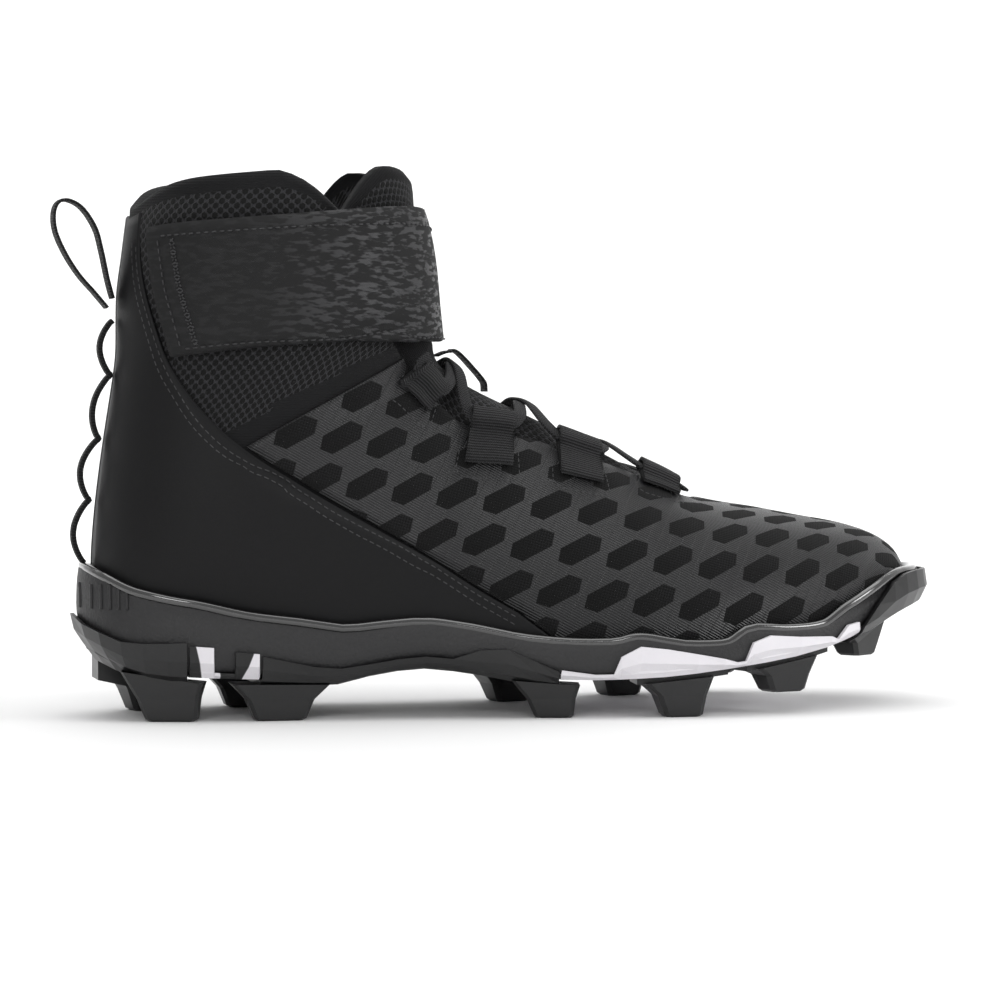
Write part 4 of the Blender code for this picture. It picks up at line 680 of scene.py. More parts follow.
def solid(name, outer, inner, uv, keep=None, loop=False):
    """Smooth solid between two grids; keep marks the cells that have material."""
    rows, columns = outer.shape[:2]
    keep = np.ones((rows - 1, columns - 1), bool) if keep is None else keep
    count = rows * columns
    points = np.concatenate([outer, inner]).reshape(-1, 3)
    uvs = np.concatenate([uv, uv]).reshape(-1, 2)
    number = np.arange(count).reshape(rows, columns)
    faces = []
    padded = np.pad(keep, 1)
    for i, j in zip(*np.nonzero(keep)):
        a, b, c, d = number[i, j], number[i + 1, j], number[i + 1, j + 1], number[i, j + 1]
        faces.append((a, b, c, d))
        faces.append((d + count, c + count, b + count, a + count))
        for first, second, row, place, closed in (
            (a, d, i, j + 1, False),
            (c, b, i + 2, j + 1, False),
            (b, a, i + 1, j, loop),
            (d, c, i + 1, j + 2, loop),
        ):
            if not padded[row, place] and not closed:
                faces.append((first, second, second + count, first + count))
    return mesh_object(name, points, faces, uvs)


def unit(vectors):
    return vectors / np.linalg.norm(vectors, axis=-1, keepdims=True)


def tube(name, points, normals, width, thickness, sides, squareness):
    """Flat tube along points: width lies across, thickness along the normals."""
    points = np.array(points, float)
    along = unit(np.gradient(points, axis=0))
    across = unit(np.cross(along, normals))
    up = np.cross(across, along)
    angles = np.arange(sides) / sides * 2 * math.pi
    a, b = np.cos(angles), np.sin(angles)
    a = np.sign(a) * np.abs(a) ** squareness * width / 2
    b = np.sign(b) * np.abs(b) ** squareness * thickness / 2
    rings = points[:, None] + across[:, None] * a[None, :, None] + up[:, None] * b[None, :, None]
    run = running_length(points)
    uvs = [(a[k], length) for length in run for k in range(sides)]
    faces = []
    for first in range(0, (len(points) - 1) * sides, sides):
        for k in range(sides):
            m = (k + 1) % sides
            faces.append((first + k, first + m, first + sides + m, first + sides + k))
    last = (len(points) - 1) * sides
    faces += [tuple(range(sides))[::-1], tuple(range(last, last + sides))]
    return mesh_object(name, rings.reshape(-1, 3), faces, uvs)


def refine(points, count, closed=False):
    """Evenly spaced points on a smooth curve through the given ones."""
    points = np.array(points, float)
    ends = points[[-1, 0, 1]] if closed else points[[0, -1, -1]]
    knots = np.concatenate([ends[:1], points, ends[1:]])
    t = np.linspace(0, 1, 12, endpoint=False)[:, None]
    fine = []
    for p0, p1, p2, p3 in zip(knots, knots[1:], knots[2:], knots[3:]):
        curve = 2 * p0 - 5 * p1 + 4 * p2 - p3
        fine.append(0.5 * (2 * p1 + (p2 - p0) * t + curve * t * t + (3 * p1 - p0 - 3 * p2 + p3) * t ** 3))
    if not closed:
        fine = fine[: len(points) - 1]
    fine = np.concatenate(fine + [points[:1] if closed else points[-1:]])
    run = running_length(fine)
    places = np.linspace(0, run[-1], count)
    return np.stack([np.interp(places, run, values) for values in fine.T], 1)


def stitches(name, lines, pitch=STITCH_PITCH, length=STITCH_LENGTH, on=None):
    """Rows of short threads along lines of (point, normal), sunk a little into the piece that they are on."""
    if on is not None:
        tree = shoe_tree([on])
        lines = [snapped(line, tree) for line, _ in lines]
    points, faces = [], []
    angles = np.arange(6)[:, None] / 6 * 2 * math.pi
    for line, normals in lines:
        run = running_length(line)
        for start in np.arange(0.3 * pitch, run[-1] - length, pitch):
            tail, head = (np.array([np.interp(w, run, c) for c in line.T]) for w in (start, start + length))
            up = np.array([np.interp(start, run, c) for c in normals.T])
            along = unit(head - tail)
            across = unit(np.cross(along, up))
            up = np.cross(across, along)
            ring = (across * np.cos(angles) + up * np.sin(angles)) * THREAD_RADIUS
            first = len(points)
            points.append(tail - up * THREAD_RADIUS * 0.8)
            for t in (0.15, 0.85):
                points += list(between(tail, head, t) + up * THREAD_RADIUS * 0.5 + ring)
            points.append(head - up * THREAD_RADIUS * 0.8)
            for k in range(6):
                near, next_near = first + 1 + k, first + 1 + (k + 1) % 6
                faces.append((first, next_near, near))
                faces.append((near, next_near, next_near + 6, near + 6))
                faces.append((first + 13, near + 6, next_near + 6))
    return keep_piece(mesh_object(name, points, faces), THREAD)


def shoe_tree(names):
    """The faces of finished pieces, to search."""
    points, faces = [], []
    for name in names:
        mesh = bpy.data.objects[name].data
        base = len(points)
        points += [v.co.copy() for v in mesh.vertices]
        faces += [[base + k for k in face.vertices] for face in mesh.polygons]
    return BVHTree.FromPolygons(points, faces)


def snapped(line, tree):
    """The points of a line brought to the nearest face of a tree, with its normals."""
    points, normals = [], []
    for point in line:
        place, normal, _, _ = tree.find_nearest(Vector(point + SHIFT))
        points.append(np.array(place) - SHIFT)
        normals.append(np.array(normal))
    return np.array(points), np.array(normals)


def line_on_last(places, out):
    """Points and normals over (row, v) places."""
    u, v = np.array(places, float).T
    base, top = (last_point(u, v, out + lift) for lift in (0 * u, 0 * u + MM))
    return base, (top - base) / MM


# Materials

class Value:
    """Output of a shader node. Arithmetic on it adds Math nodes to its graph."""

    def __init__(self, graph, socket):
        self.graph = graph
        self.socket = socket

    def __add__(self, other):
        return self.graph.math("ADD", self, other)

    def __sub__(self, other):
        return self.graph.math("SUBTRACT", self, other)

    def __rsub__(self, other):
        return self.graph.math("SUBTRACT", other, self)

    def __mul__(self, other):
        return self.graph.math("MULTIPLY", self, other)

    def __truediv__(self, other):
        return self.graph.math("DIVIDE", self, other)

    def __abs__(self):
        return self.graph.math("ABSOLUTE", self)


class Graph:
    """Shader graph of one material, with short calls for the nodes that the materials share."""

    def __init__(self, name, roughness, slot):
        self.material = bpy.data.materials.new(name)
        self.material.use_nodes = True
        self.nodes = self.material.node_tree.nodes
        self.links = self.material.node_tree.links
        self.sockets = self.nodes["Principled BSDF"].inputs
        self.sockets["Roughness"].default_value = roughness
        self.material["slot"] = slot
        self.coordinates = self.nodes.new("ShaderNodeTexCoord")

    def put(self, socket, value):
        """Sets or links a socket; a tuple is a colour."""
        if isinstance(value, Value):
            self.links.new(value.socket, socket)
        else:
            socket.default_value = (*value, 1) if isinstance(value, tuple) else value

    def math(self, operation, *values, clamp=False):
        node = self.nodes.new("ShaderNodeMath")
        node.operation = operation
        node.use_clamp = clamp
        for socket, value in zip(node.inputs, values):
            self.put(socket, value)
        return Value(self, node.outputs[0])

    def axes(self, kind):
        """x, y and z of the UV or Object coordinates."""
        node = self.nodes.new("ShaderNodeSeparateXYZ")
        self.links.new(self.coordinates.outputs[kind], node.inputs[0])
        return [Value(self, socket) for socket in node.outputs]

    def ramp(self, value, low, high):
        """0 below low, 1 above high, smooth between."""
        node = self.nodes.new("ShaderNodeMapRange")
        node.interpolation_type = "SMOOTHSTEP"
        for name, entry in (("Value", value), ("From Min", low), ("From Max", high)):
            self.put(node.inputs[name], entry)
        return Value(self, node.outputs[0])

    def mix(self, factor, a, b):
        """Number between a and b."""
        return factor * (b - a) + a

    def colour(self, factor, a, b):
        node = self.nodes.new("ShaderNodeMix")
        node.data_type = "RGBA"
        for number, value in ((0, factor), (6, a), (7, b)):
            self.put(node.inputs[number], value)
        return Value(self, node.outputs[2])

    def noise(self, scale, detail, stretch=(1, 1, 1)):
        node = self.nodes.new("ShaderNodeTexNoise")
        node.inputs["Scale"].default_value = scale
        node.inputs["Detail"].default_value = detail
        mapping = self.nodes.new("ShaderNodeMapping")
        mapping.inputs["Scale"].default_value = stretch
        self.links.new(self.coordinates.outputs["Object"], mapping.inputs[0])
        self.links.new(mapping.outputs[0], node.inputs["Vector"])
        return Value(self, node.outputs[0])

    def wave(self, value, pitch):
        """Cosine of a length, from -1 to 1, once every pitch."""
        return self.math("COSINE", value * (2 * math.pi / pitch))

    def cell(self, value, pitch, shift):
        """Place within a repeat, from -0.5 to 0.5."""
        return self.math("FRACT", value / pitch + shift) - 0.5

    def honeycomb(self, x, y, pitch, rise):
        """Distance from the nearest centre of a staggered grid, 0 at a centre and 1 half a pitch away."""
        reaches = []
        for shift in (0.0, 0.5):
            dx = abs(self.cell(x, pitch, shift))
            dy = abs(self.cell(y, rise, shift)) * (rise / pitch)
            reaches.append(self.math("MAXIMUM", dx, dx * 0.5 + dy * 0.866) * 2.0)
        return self.math("MINIMUM", *reaches)

    def finish(self, colour, height, distance, strength=1.0, rough=None, gloss=0.5, sheen=0.0, coat=0.0):
        """Links colour, roughness and bump, and sets the shader's own gloss, sheen and coat."""
        bump = self.nodes.new("ShaderNodeBump")
        bump.inputs["Strength"].default_value = strength
        bump.inputs["Distance"].default_value = distance
        self.put(bump.inputs["Height"], height)
        self.links.new(bump.outputs[0], self.sockets["Normal"])
        self.put(self.sockets["Base Color"], colour)
        if rough is not None:
            self.put(self.sockets["Roughness"], rough)
        for name, value in (
            ("Specular IOR Level", gloss),
            ("Sheen Weight", sheen),
            ("Sheen Roughness", 0.4),
            ("Coat Weight", coat),
            ("Coat Roughness", 0.12),
        ):
            self.sockets[name].default_value = value
        return self.material


def grey(tone, cool=0.0):
    """Near-black grey; cool is how much bluer it is."""
    return tone, tone, tone + cool


def spacer_mesh():
    """Knitted spacer mesh with small hexagonal holes."""
    g = Graph("spacer_mesh", 0.8, "black_mesh")
    x, y, _ = g.axes("UV")
    hole = 1.0 - g.ramp(g.honeycomb(x, y, 3.6 * MM, 3.1 * MM), 0.44, 0.66)
    thread = g.wave(x, 0.42 * MM) * g.wave(y, 0.42 * MM)
    # Painted shade: the holes are coloured near black, as the shade inside them.
    colour = g.colour(hole, grey(0.026, 0.003), grey(0.0006, 0.0001))
    return g.finish(colour, thread * 0.10 - hole, 0.7 * MM, gloss=0.3, sheen=0.06)


def stretch_fabric(name):
    g = Graph(name, 0.85, "black_mesh")
    x, y, _ = g.axes("UV")
    ribs = g.wave(x, 0.9 * MM) * g.wave(y + x, 0.9 * MM)
    colour = g.colour(g.noise(60.0, 4.0), grey(0.006, 0.0005), grey(0.012, 0.001))
    return g.finish(colour, ribs, 0.12 * MM, gloss=0.2, sheen=0.05)


def smooth_synthetic():
    """Matte near-black synthetic of the heel panel, with a fine grain."""
    g = Graph("smooth_synthetic", 0.52, "black_synthetic")
    grain = g.noise(2600.0, 2.0)
    colour = g.colour(g.noise(22.0, 2.0), grey(0.0042, 0.0005), grey(0.0062, 0.0006))
    return g.finish(colour, grain, 0.05 * MM, 0.6, g.mix(grain, 0.46, 0.60), gloss=0.2)


WINDOW_PITCH = 26 * MM
WINDOW_RISE = 17.5 * MM
WINDOW_HALF_HEIGHT = 3.3
WINDOW_HALF_LENGTH = 8.4
WINDOW_LEAN = math.radians(28)


def vamp_film():
    """Ripstop under a thin film, with staggered rows of long hexagonal windows to a darker ground."""
    g = Graph("vamp_film", 0.5, "grey_film")
    x, y, _ = g.axes("UV")
    along = x * math.cos(WINDOW_LEAN) + y * math.sin(WINDOW_LEAN)
    up = y * math.cos(WINDOW_LEAN) - x * math.sin(WINDOW_LEAN)
    insides, fades = [], []
    for shift in (0.0, 0.5):
        a = g.cell(along, WINDOW_PITCH, shift) * (WINDOW_PITCH / MM)
        b = g.cell(up, WINDOW_RISE, shift) * (WINDOW_RISE / MM)
        point = abs(a) + abs(b) * 0.9 - WINDOW_HALF_LENGTH
        insides.append(1.0 - g.ramp(g.math("MAXIMUM", abs(b) - WINDOW_HALF_HEIGHT, point), -0.15, 0.15))
        fades.append(insides[-1] * g.ramp(a, -6.0, 7.0))
    windows = g.math("ADD", *insides, clamp=True)
    ribs = g.wave(x * 0.55 + y, 0.95 * MM)
    weave = ribs * 0.5 + g.ramp(g.wave(x - y * 0.55, 4.2 * MM), 0.86, 1.0) * 0.6
    dots = g.wave(along, 1.3 * MM) * g.wave(up, 1.3 * MM)
    film = g.colour(g.ramp(ribs, -0.6, 0.8), grey(0.0030, 0.0004), grey(0.0240, 0.0016))
    shown = (fades[0] + fades[1]) * g.ramp(dots, -0.2, 0.5)
    ground = g.colour(shown, grey(0.0003, 0.0001), grey(0.0060, 0.0006))
    height = windows * -4.0 + weave * (1.0 - windows) + dots * 0.6 * windows
    rough = g.mix(windows, 0.34, 1.0)
    return g.finish(g.colour(windows, film, ground), height, 0.17 * MM, rough=rough, gloss=0.42)


def strap_cloth():
    """Dark strap with broken horizontal streaks, painted lighter as a sheen that grows fuller toward the
    front.
    """
    g = Graph("strap_cloth", 0.5, "black_synthetic")
    x, y, _ = g.axes("UV")
    # Painted sheen: the streaks' colour is lightened as a highlight, more so toward the front by the object's
    # x.
    fullness = g.mix(g.ramp(g.axes("Object")[0], -0.095, -0.055), 0.14, 1.0)
    streaks_and_painted_sheen = g.ramp(g.noise(1.0, 3.0, (210.0, 210.0, 720.0)), 0.47, 0.60) * fullness
    weave = g.wave(x, 0.7 * MM) * g.wave(y, 0.7 * MM)
    # The light end of this colour is the painted sheen on the streaks; the streak pattern itself is the
    # strap's own.
    colour = g.colour(streaks_and_painted_sheen, grey(0.0018, 0.0004), grey(0.028, 0.002))
    return g.finish(colour, streaks_and_painted_sheen + weave * 0.25, 0.14 * MM, rough=g.mix(streaks_and_painted_sheen, 0.7, 0.3), gloss=0.38)


def webbing(name, tone):
    """Ribbed webbing: ribs across its length."""
    g = Graph(name, 0.7, "black_webbing")
    x, y, _ = g.axes("UV")
    rib = g.wave(y, 1.0 * MM)
    twill = g.wave(x + y * 0.6, 0.7 * MM)
    colour = g.colour(g.ramp(rib, -0.7, 0.5), grey(tone * 0.35, tone * 0.02), grey(tone * 1.5, tone * 0.1))
    return g.finish(colour, rib + twill * 0.35, 0.25 * MM, gloss=0.25, sheen=0.04)


def lace_braid():
    g = Graph("lace_braid", 0.75, "black_webbing")
    x, y, _ = g.axes("UV")
    braid = g.math("MAXIMUM", g.wave(x + y, 1.1 * MM), g.wave(x - y, 1.1 * MM))
    colour = g.colour(g.ramp(braid, 0.0, 1.0), grey(0.006), grey(0.024, 0.002))
    return g.finish(colour, braid, 0.22 * MM, gloss=0.25, sheen=0.04)


def thread():
    g = Graph("thread", 0.55, "black_webbing")
    colour = g.colour(g.noise(900.0, 1.0), grey(0.014, 0.001), grey(0.034, 0.002))
    return g.finish(colour, g.noise(3000.0, 1.0), 0.05 * MM, 0.5)


def foam_wall():
    """Fine-grained side wall of the midsole."""
    g = Graph("foam_wall", 0.5, "dark_foam")
    grain = g.noise(900.0, 4.0)
    colour = g.colour(grain, grey(0.0055, 0.0005), (0.021, 0.0205, 0.022))
    height = g.noise(420.0, 2.0) * 0.5 + grain
    return g.finish(colour, height, 0.30 * MM, 0.8, g.mix(grain, 0.40, 0.62))


def glossy_rubber(name, roughness, low, high, lacquer=0.0):
    g = Graph(name, roughness, "black_rubber")
    grain = g.noise(700.0, 3.0)
    rough = g.mix(g.noise(90.0, 2.0), roughness * 0.85, roughness * 1.2)
    colour = g.colour(grain, low, high)
    return g.finish(colour, grain, 0.05 * MM, 0.5, rough, gloss=0.5 + 0.4 * lacquer, coat=lacquer)


# The white plate's part behind the arch shows as two slanted bars.
REAR_PLATE_END = 78 * MM
REAR_BAR_TOP = 26 * MM
RearBar = namedtuple("RearBar", "top_x slope half_width")
REAR_BARS = [RearBar(37.0 * MM, 0.25, 2.9 * MM), RearBar(57.0 * MM, -0.36, 2.8 * MM)]


def white_plastic():
    g = Graph("white_plastic", 0.45, "white_plastic")
    grain = g.noise(1200.0, 3.0)
    x, _, z = g.axes("Object")
    bars = g.ramp(x, SHIFT[0] + REAR_PLATE_END, SHIFT[0] + REAR_PLATE_END + MM)
    for bar in REAR_BARS:
        away = abs(x + z * bar.slope - (SHIFT[0] + bar.top_x + bar.slope * REAR_BAR_TOP))
        shown = 1.0 - g.ramp(away, bar.half_width - 0.2 * MM, bar.half_width + 0.2 * MM)
        bars = g.math("MAXIMUM", bars, shown)
    white = g.colour(g.noise(60.0, 2.0), (0.70, 0.68, 0.72), (0.80, 0.78, 0.81))
    colour = g.colour(bars, grey(0.006, 0.0005), white)
    return g.finish(colour, grain, 0.06 * MM, 0.6, g.mix(grain, 0.38, 0.55))


# Bootie, panels and tongue

FINE_ROWS = np.array(row_list(
    0.0,
    (THROAT_ROW, 0.25),
    (QUARTER_FIRST_ROW, 0.4),
    (17.0, 0.4),
    (HEEL_CORNER_ROW, 0.25),
    (OVERLAY_LAST_ROW, 0.2),
    (QUARTER_LAST_ROW, 0.2),
    (COLLAR_ROW, 0.05),
))
FINE_QUARTER = 14
FINE_SIDE = 22
FINE_THROAT = 14
THROAT_CELLS = slice(FINE_QUARTER + FINE_SIDE, FINE_QUARTER + FINE_SIDE + FINE_THROAT)
NEAR = 1e-6

# The fan of rows about the heel's corner is eased, in full between the middle two of these rows.
EASED_ROWS = [14, 16.5, 22.5, 25]
EASING_ROUNDS = 70

# Rows where the bootie's and the tongue's cloth changes: stretch cloth, mesh and bound rim.
MESH_ROW = 22.2
MESH_ROW_RISE = 1.1
BINDING_ROW = 27.72
TONGUE_BINDING_ROW = 27.75
TONGUE_STRETCH_ROWS = (17.5, 24.5)


@lru_cache(maxsize=None)
def fine_columns(u, seam=0.0):
    sides = []
    for side, base in ((LATERAL, 0.0), (MEDIAL, 2.0)):
        edge, throat = edge_v(QUARTER_EDGE, u, side, seam), throat_v(u, side)
        sides.append(arc(base, edge, FINE_QUARTER) + arc(edge, throat, FINE_SIDE)[1:])
    lateral, medial = sides
    return lateral + arc(lateral[-1], medial[-1], FINE_THROAT)[1:-1] + medial[::-1]


def rows_kept(first, last):
    return (FINE_ROWS >= first - NEAR) & (FINE_ROWS <= last + NEAR)


def shell_grids(outward, inward, first=0.0, last=COLLAR_ROW, seam=0.0, row_of=None):
    """Outer and inner grid of a shell, eased before its rows are cut, and the rows."""
    def columns(u):
        return fine_columns(u, seam if u >= QUARTER_FIRST_ROW - NEAR else 0.0)

    weight = np.interp(FINE_ROWS, EASED_ROWS, [0, 1, 1, 0])[1:-1, None, None] * 0.25
    kept = rows_kept(first, last)
    grids = []
    for offset in (outward, inward):
        grid = fine_grid(FINE_ROWS, columns, offset, row_of)
        for _ in range(EASING_ROUNDS):
            grid[1:-1] += weight * (grid[:-2] - 2 * grid[1:-1] + grid[2:])
        seat(grid, FINE_ROWS)
        grids.append(grid[kept])
    return (*grids, FINE_ROWS[kept])


def shell_cells(rows, columns, quarter):
    """Cells with material: all but the throat's, with the heel panel's kept, alone or left out."""
    keep = np.full((len(rows) - 1, columns - 1), quarter != "alone")
    keep[rows[:-1] >= THROAT_ROW - NEAR, THROAT_CELLS] = False
    for cells in (slice(0, FINE_QUARTER), slice(-FINE_QUARTER, None)):
        if quarter != "kept":
            keep[rows[:-1] >= QUARTER_FIRST_ROW - NEAR, cells] = quarter == "alone"
    return keep


def collar_puff(u):
    """Padding of the ankle: fuller between strap and rim, drawn in at the binding."""
    rows = [22, 24, 25.5, 27.0, 27.45, 27.75, 27.9, 28]
    return MM * float(np.interp(u, rows, [0, 0.7, 0.4, 0.8, 1.5, 0.5, 0.7, -0.6]))


def bootie_wall(u):
    """Inner face of the bootie, drawn toward the outer one at the rim."""
    return -wall_thickness(u) + (0.9 * MM if u > 27.95 else 0)


def lengths_and_heights(grid):
    return np.stack([lengths_along(grid, 1), grid[..., 2]], -1)


def bootie_piece():
    outer, inner, rows = shell_grids(collar_puff, bootie_wall, row_of=dipped_row)
    columns = outer.shape[1]
    cells = shell_cells(rows, columns, "kept")
    obj = solid("bootie", outer, inner, lengths_and_heights(outer), cells)
    keep_piece(obj, MESH_CLOTH, "upper", more=(STRETCH_CLOTH, BINDING_CLOTH))
    for face in obj.data.polygons:
        i, j = divmod(min(face.vertices) % (len(rows) * columns), columns)
        reach = 1 - abs(j - columns / 2) / (columns / 2)
        if rows[i] < MESH_ROW + MESH_ROW_RISE * reach or face.vertices[0] >= len(rows) * columns:
            face.material_index = 1
        elif rows[i] > BINDING_ROW:
            face.material_index = 2


def backing(u):
    return SHELL_GAP * 0.2


def quarter_piece():
    outer, inner, rows = shell_grids(
        lambda u: SHELL_GAP + QUARTER_THICKNESS, backing, QUARTER_FIRST_ROW, QUARTER_LAST_ROW
    )
    cells = shell_cells(rows, outer.shape[1], "alone")
    obj = solid("heel_panel", outer, inner, lengths_and_heights(outer), cells)
    keep_piece(obj, HEEL_SYNTHETIC, "heel_quarter")


def film_piece():
    """The film over vamp and toe. Its pattern is laid by height from each side, so that it mirrors."""
    outer, inner, rows = shell_grids(
        lambda u: SHELL_GAP + OVERLAY_THICKNESS, backing, 0, OVERLAY_LAST_ROW, QUARTER_SEAM
    )
    girth = lengths_along(outer, 1, (0, 1, 1))
    rises = []
    for sign, run in ((1, girth), (-1, girth[:, -1:] - girth)):
        widest = np.argmin(sign * outer[..., 1], axis=1)[:, None]
        height = np.take_along_axis(outer[..., 2], widest, 1)
        rises.append(run - np.take_along_axis(run, widest, 1) + height)
    uv = np.stack([outer[..., 0], np.minimum(*rises)], -1)
    cells = shell_cells(rows, outer.shape[1], "left out")
    keep_piece(solid("vamp_film", outer, inner, uv, cells), FILM, "vamp_overlay")


@lru_cache(maxsize=None)
def tongue_fine_columns(u):
    return arc(*(above_throat(u, side, -TONGUE_OVERLAP) for side in (LATERAL, MEDIAL)), 40)


def tongue_fine_crown(u):
    lateral, medial = throat_v(u, LATERAL), throat_v(u, MEDIAL)
    inside = np.clip((np.array(tongue_fine_columns(u)) - lateral) / (medial - lateral), 0, 1)
    raised = np.clip(np.minimum(inside, 1 - inside) / TONGUE_CROWN_REACH, 0, 1)
    raised = raised * raised * (3 - 2 * raised) * np.clip((u - THROAT_ROW) / 1.5, 0, 1)
    rim = np.interp(u, [27.5, 27.75, 27.9, 28], [0, 0.5, 0.6, -0.5]) * MM
    return -(wall_thickness(u) + TONGUE_GAP) * (1 - raised) + rim


def lengths_both_ways(grid):
    return np.stack([lengths_along(grid, 1), lengths_along(grid, 0)], -1)


def tongue_piece():
    rows = [THROAT_ROW - 0.35, *FINE_ROWS[rows_kept(THROAT_ROW, COLLAR_ROW)]]
    outer, inner = (
        fine_grid(rows, tongue_fine_columns, lambda u: tongue_fine_crown(u) - depth, dipped_row)
        for depth in (0, TONGUE_THICKNESS)
    )
    obj = solid("mesh_tongue", outer, inner, lengths_both_ways(outer))
    keep_piece(obj, MESH_CLOTH, "tongue", more=(BINDING_CLOTH, STRETCH_CLOTH))
    for face in obj.data.polygons:
        row = rows[min(face.vertices) % outer[..., 0].size // outer.shape[1]]
        if row > TONGUE_BINDING_ROW:
            face.material_index = 1
        elif TONGUE_STRETCH_ROWS[0] < row < TONGUE_STRETCH_ROWS[1]:
            face.material_index = 2


# Strap

STRAP_STITCH_MARGIN = 0.18
ZIGZAG_MARGIN = 0.2


@lru_cache(maxsize=None)
def strap_low_rows():
    places = np.linspace(0.02, 1.98, 50)
    return places, np.array([strap_low_row(float(v)) for v in places])


def strap_row(u, v):
    """Row of the last for the strap's own row u at v."""
    down = (STRAP_LAST_ROW - u) / (STRAP_LAST_ROW - STRAP_FIRST_ROW)
    return between(STRAP_LAST_ROW, np.interp(v, *strap_low_rows()), down)


def strap_columns(u):
    return arc(edge_v(STRAP_END, u, LATERAL), edge_v(STRAP_END, u, MEDIAL), 120)


def strap_lift(u):
    """Thin hems, and a slightly fuller middle."""
    edge = min(u - STRAP_FIRST_ROW, STRAP_LAST_ROW - u) / 0.25
    return STRAP_BASE + STRAP_THICKNESS * (0.55 + 0.45 * min(1.0, edge) ** 0.5)


def strap_line(shares, margin):
    """A line up the strap, with the share of its girth at each of its points."""
    places = []
    rows = np.linspace(STRAP_FIRST_ROW + margin, STRAP_LAST_ROW - margin, len(shares))
    for u, share in zip(rows, shares):
        v = between(edge_v(STRAP_END, u, LATERAL), edge_v(STRAP_END, u, MEDIAL), share)
        places.append((float(strap_row(u, v)), v))
    return line_on_last(places, STRAP_BASE + STRAP_THICKNESS)


def strap_piece():
    rows = row_list(STRAP_FIRST_ROW, (STRAP_LAST_ROW, 0.1))
    outer = fine_grid(rows, strap_columns, strap_lift, strap_row)
    inner = fine_grid(rows, strap_columns, lambda u: STRAP_BASE, strap_row)
    keep_piece(solid("closed_strap", outer, inner, lengths_both_ways(outer)), STRAP_CLOTH, "ankle_strap")
    lines = []
    for share in (0.07, 0.93):
        u = between(STRAP_FIRST_ROW, STRAP_LAST_ROW, share)
        v = np.array(strap_columns(u))[3:-3]
        lines.append(line_on_last(np.stack([strap_row(u, v), v], 1), STRAP_BASE + STRAP_THICKNESS))
    lines += [strap_line([share] * 30, STRAP_STITCH_MARGIN) for share in (0.022, 0.978)]
    stitches("strap_stitches", lines)
    zigzag = [strap_line([0.040 + 0.011 * ((k + j) % 2) for k in range(26)], ZIGZAG_MARGIN) for j in range(2)]
    stitches("strap_zigzag", zigzag, CLOSE_STITCH_PITCH)


PANEL_STITCH_ROWS = (1.6 * MM, 4.2 * MM)


def panel_stitches():
    """A double row inside the heel panel's edge."""
    lines = []
    for side in (LATERAL, MEDIAL):
        for distance in PANEL_STITCH_ROWS:
            places = []
            for u in np.arange(12.2, 27.4, 0.2):
                v = edge_v(QUARTER_EDGE, u, side)
                places.append((u, v + side * distance / mm_per_v(u, v)))
            lines.append(line_on_last(places, SHELL_GAP + QUARTER_THICKNESS))
    stitches("panel_stitches", lines, on="heel_panel")


# Webbing loops and laces

LOOP_CENTRES = [FIRST_LOOP + number * LOOP_PITCH for number in range(len(LACE_LOOPS))]
PATCH_MARGIN = 5.5 * MM


def patch_stitches():
    """Stitched outline of the patch that carries each webbing loop."""
    lines = []
    for side in (LATERAL, MEDIAL):
        for centre, loop in zip(LOOP_CENTRES, LACE_LOOPS):
            foot = LOOP_LENGTH * loop.below + PATCH_MARGIN
            half = [(0.62, MM), (0.66, -foot + 2 * MM), (0.5, -foot)]
            corners = np.array([(-across, down) for across, down in half] + half[::-1])
            places = []
            for a, b in zip(corners, corners[1:]):
                for across, down in between(a, b, np.linspace(0, 1, 4, endpoint=False)[:, None]):
                    row = throat_row(centre + across * LOOP_WIDTH, side)
                    places.append((row, above_throat(row, side, down)))
            lines.append(line_on_last(places, SHELL_GAP + OVERLAY_THICKNESS))
    stitches("patch_stitches", lines, CLOSE_STITCH_PITCH, 1.5 * MM, "vamp_film")


def loop_pieces():
    for side, word in ((LATERAL, "lateral"), (MEDIAL, "medial")):
        for number, (centre, loop) in enumerate(zip(LOOP_CENTRES, LACE_LOOPS)):
            rows = [throat_row(centre + k * LOOP_WIDTH / 2, side) for k in np.linspace(-1, 1, 9)]
            grids = []
            for profile in loop_profile(loop.below * LOOP_LENGTH, loop.above * LOOP_LENGTH):
                along, out = refine(profile[:-1], 49, closed=True).T
                grids.append(np.array([last_point(u, above_throat(u, side, along), out) for u in rows]))
            uv = lengths_both_ways(grids[0])[..., ::-1]
            obj = solid(f"webbing_{word}_{number + 1}", *grids, uv, loop=True)
            keep_piece(obj, WEBBING, f"lace_loop_{word}_{number + 1}")


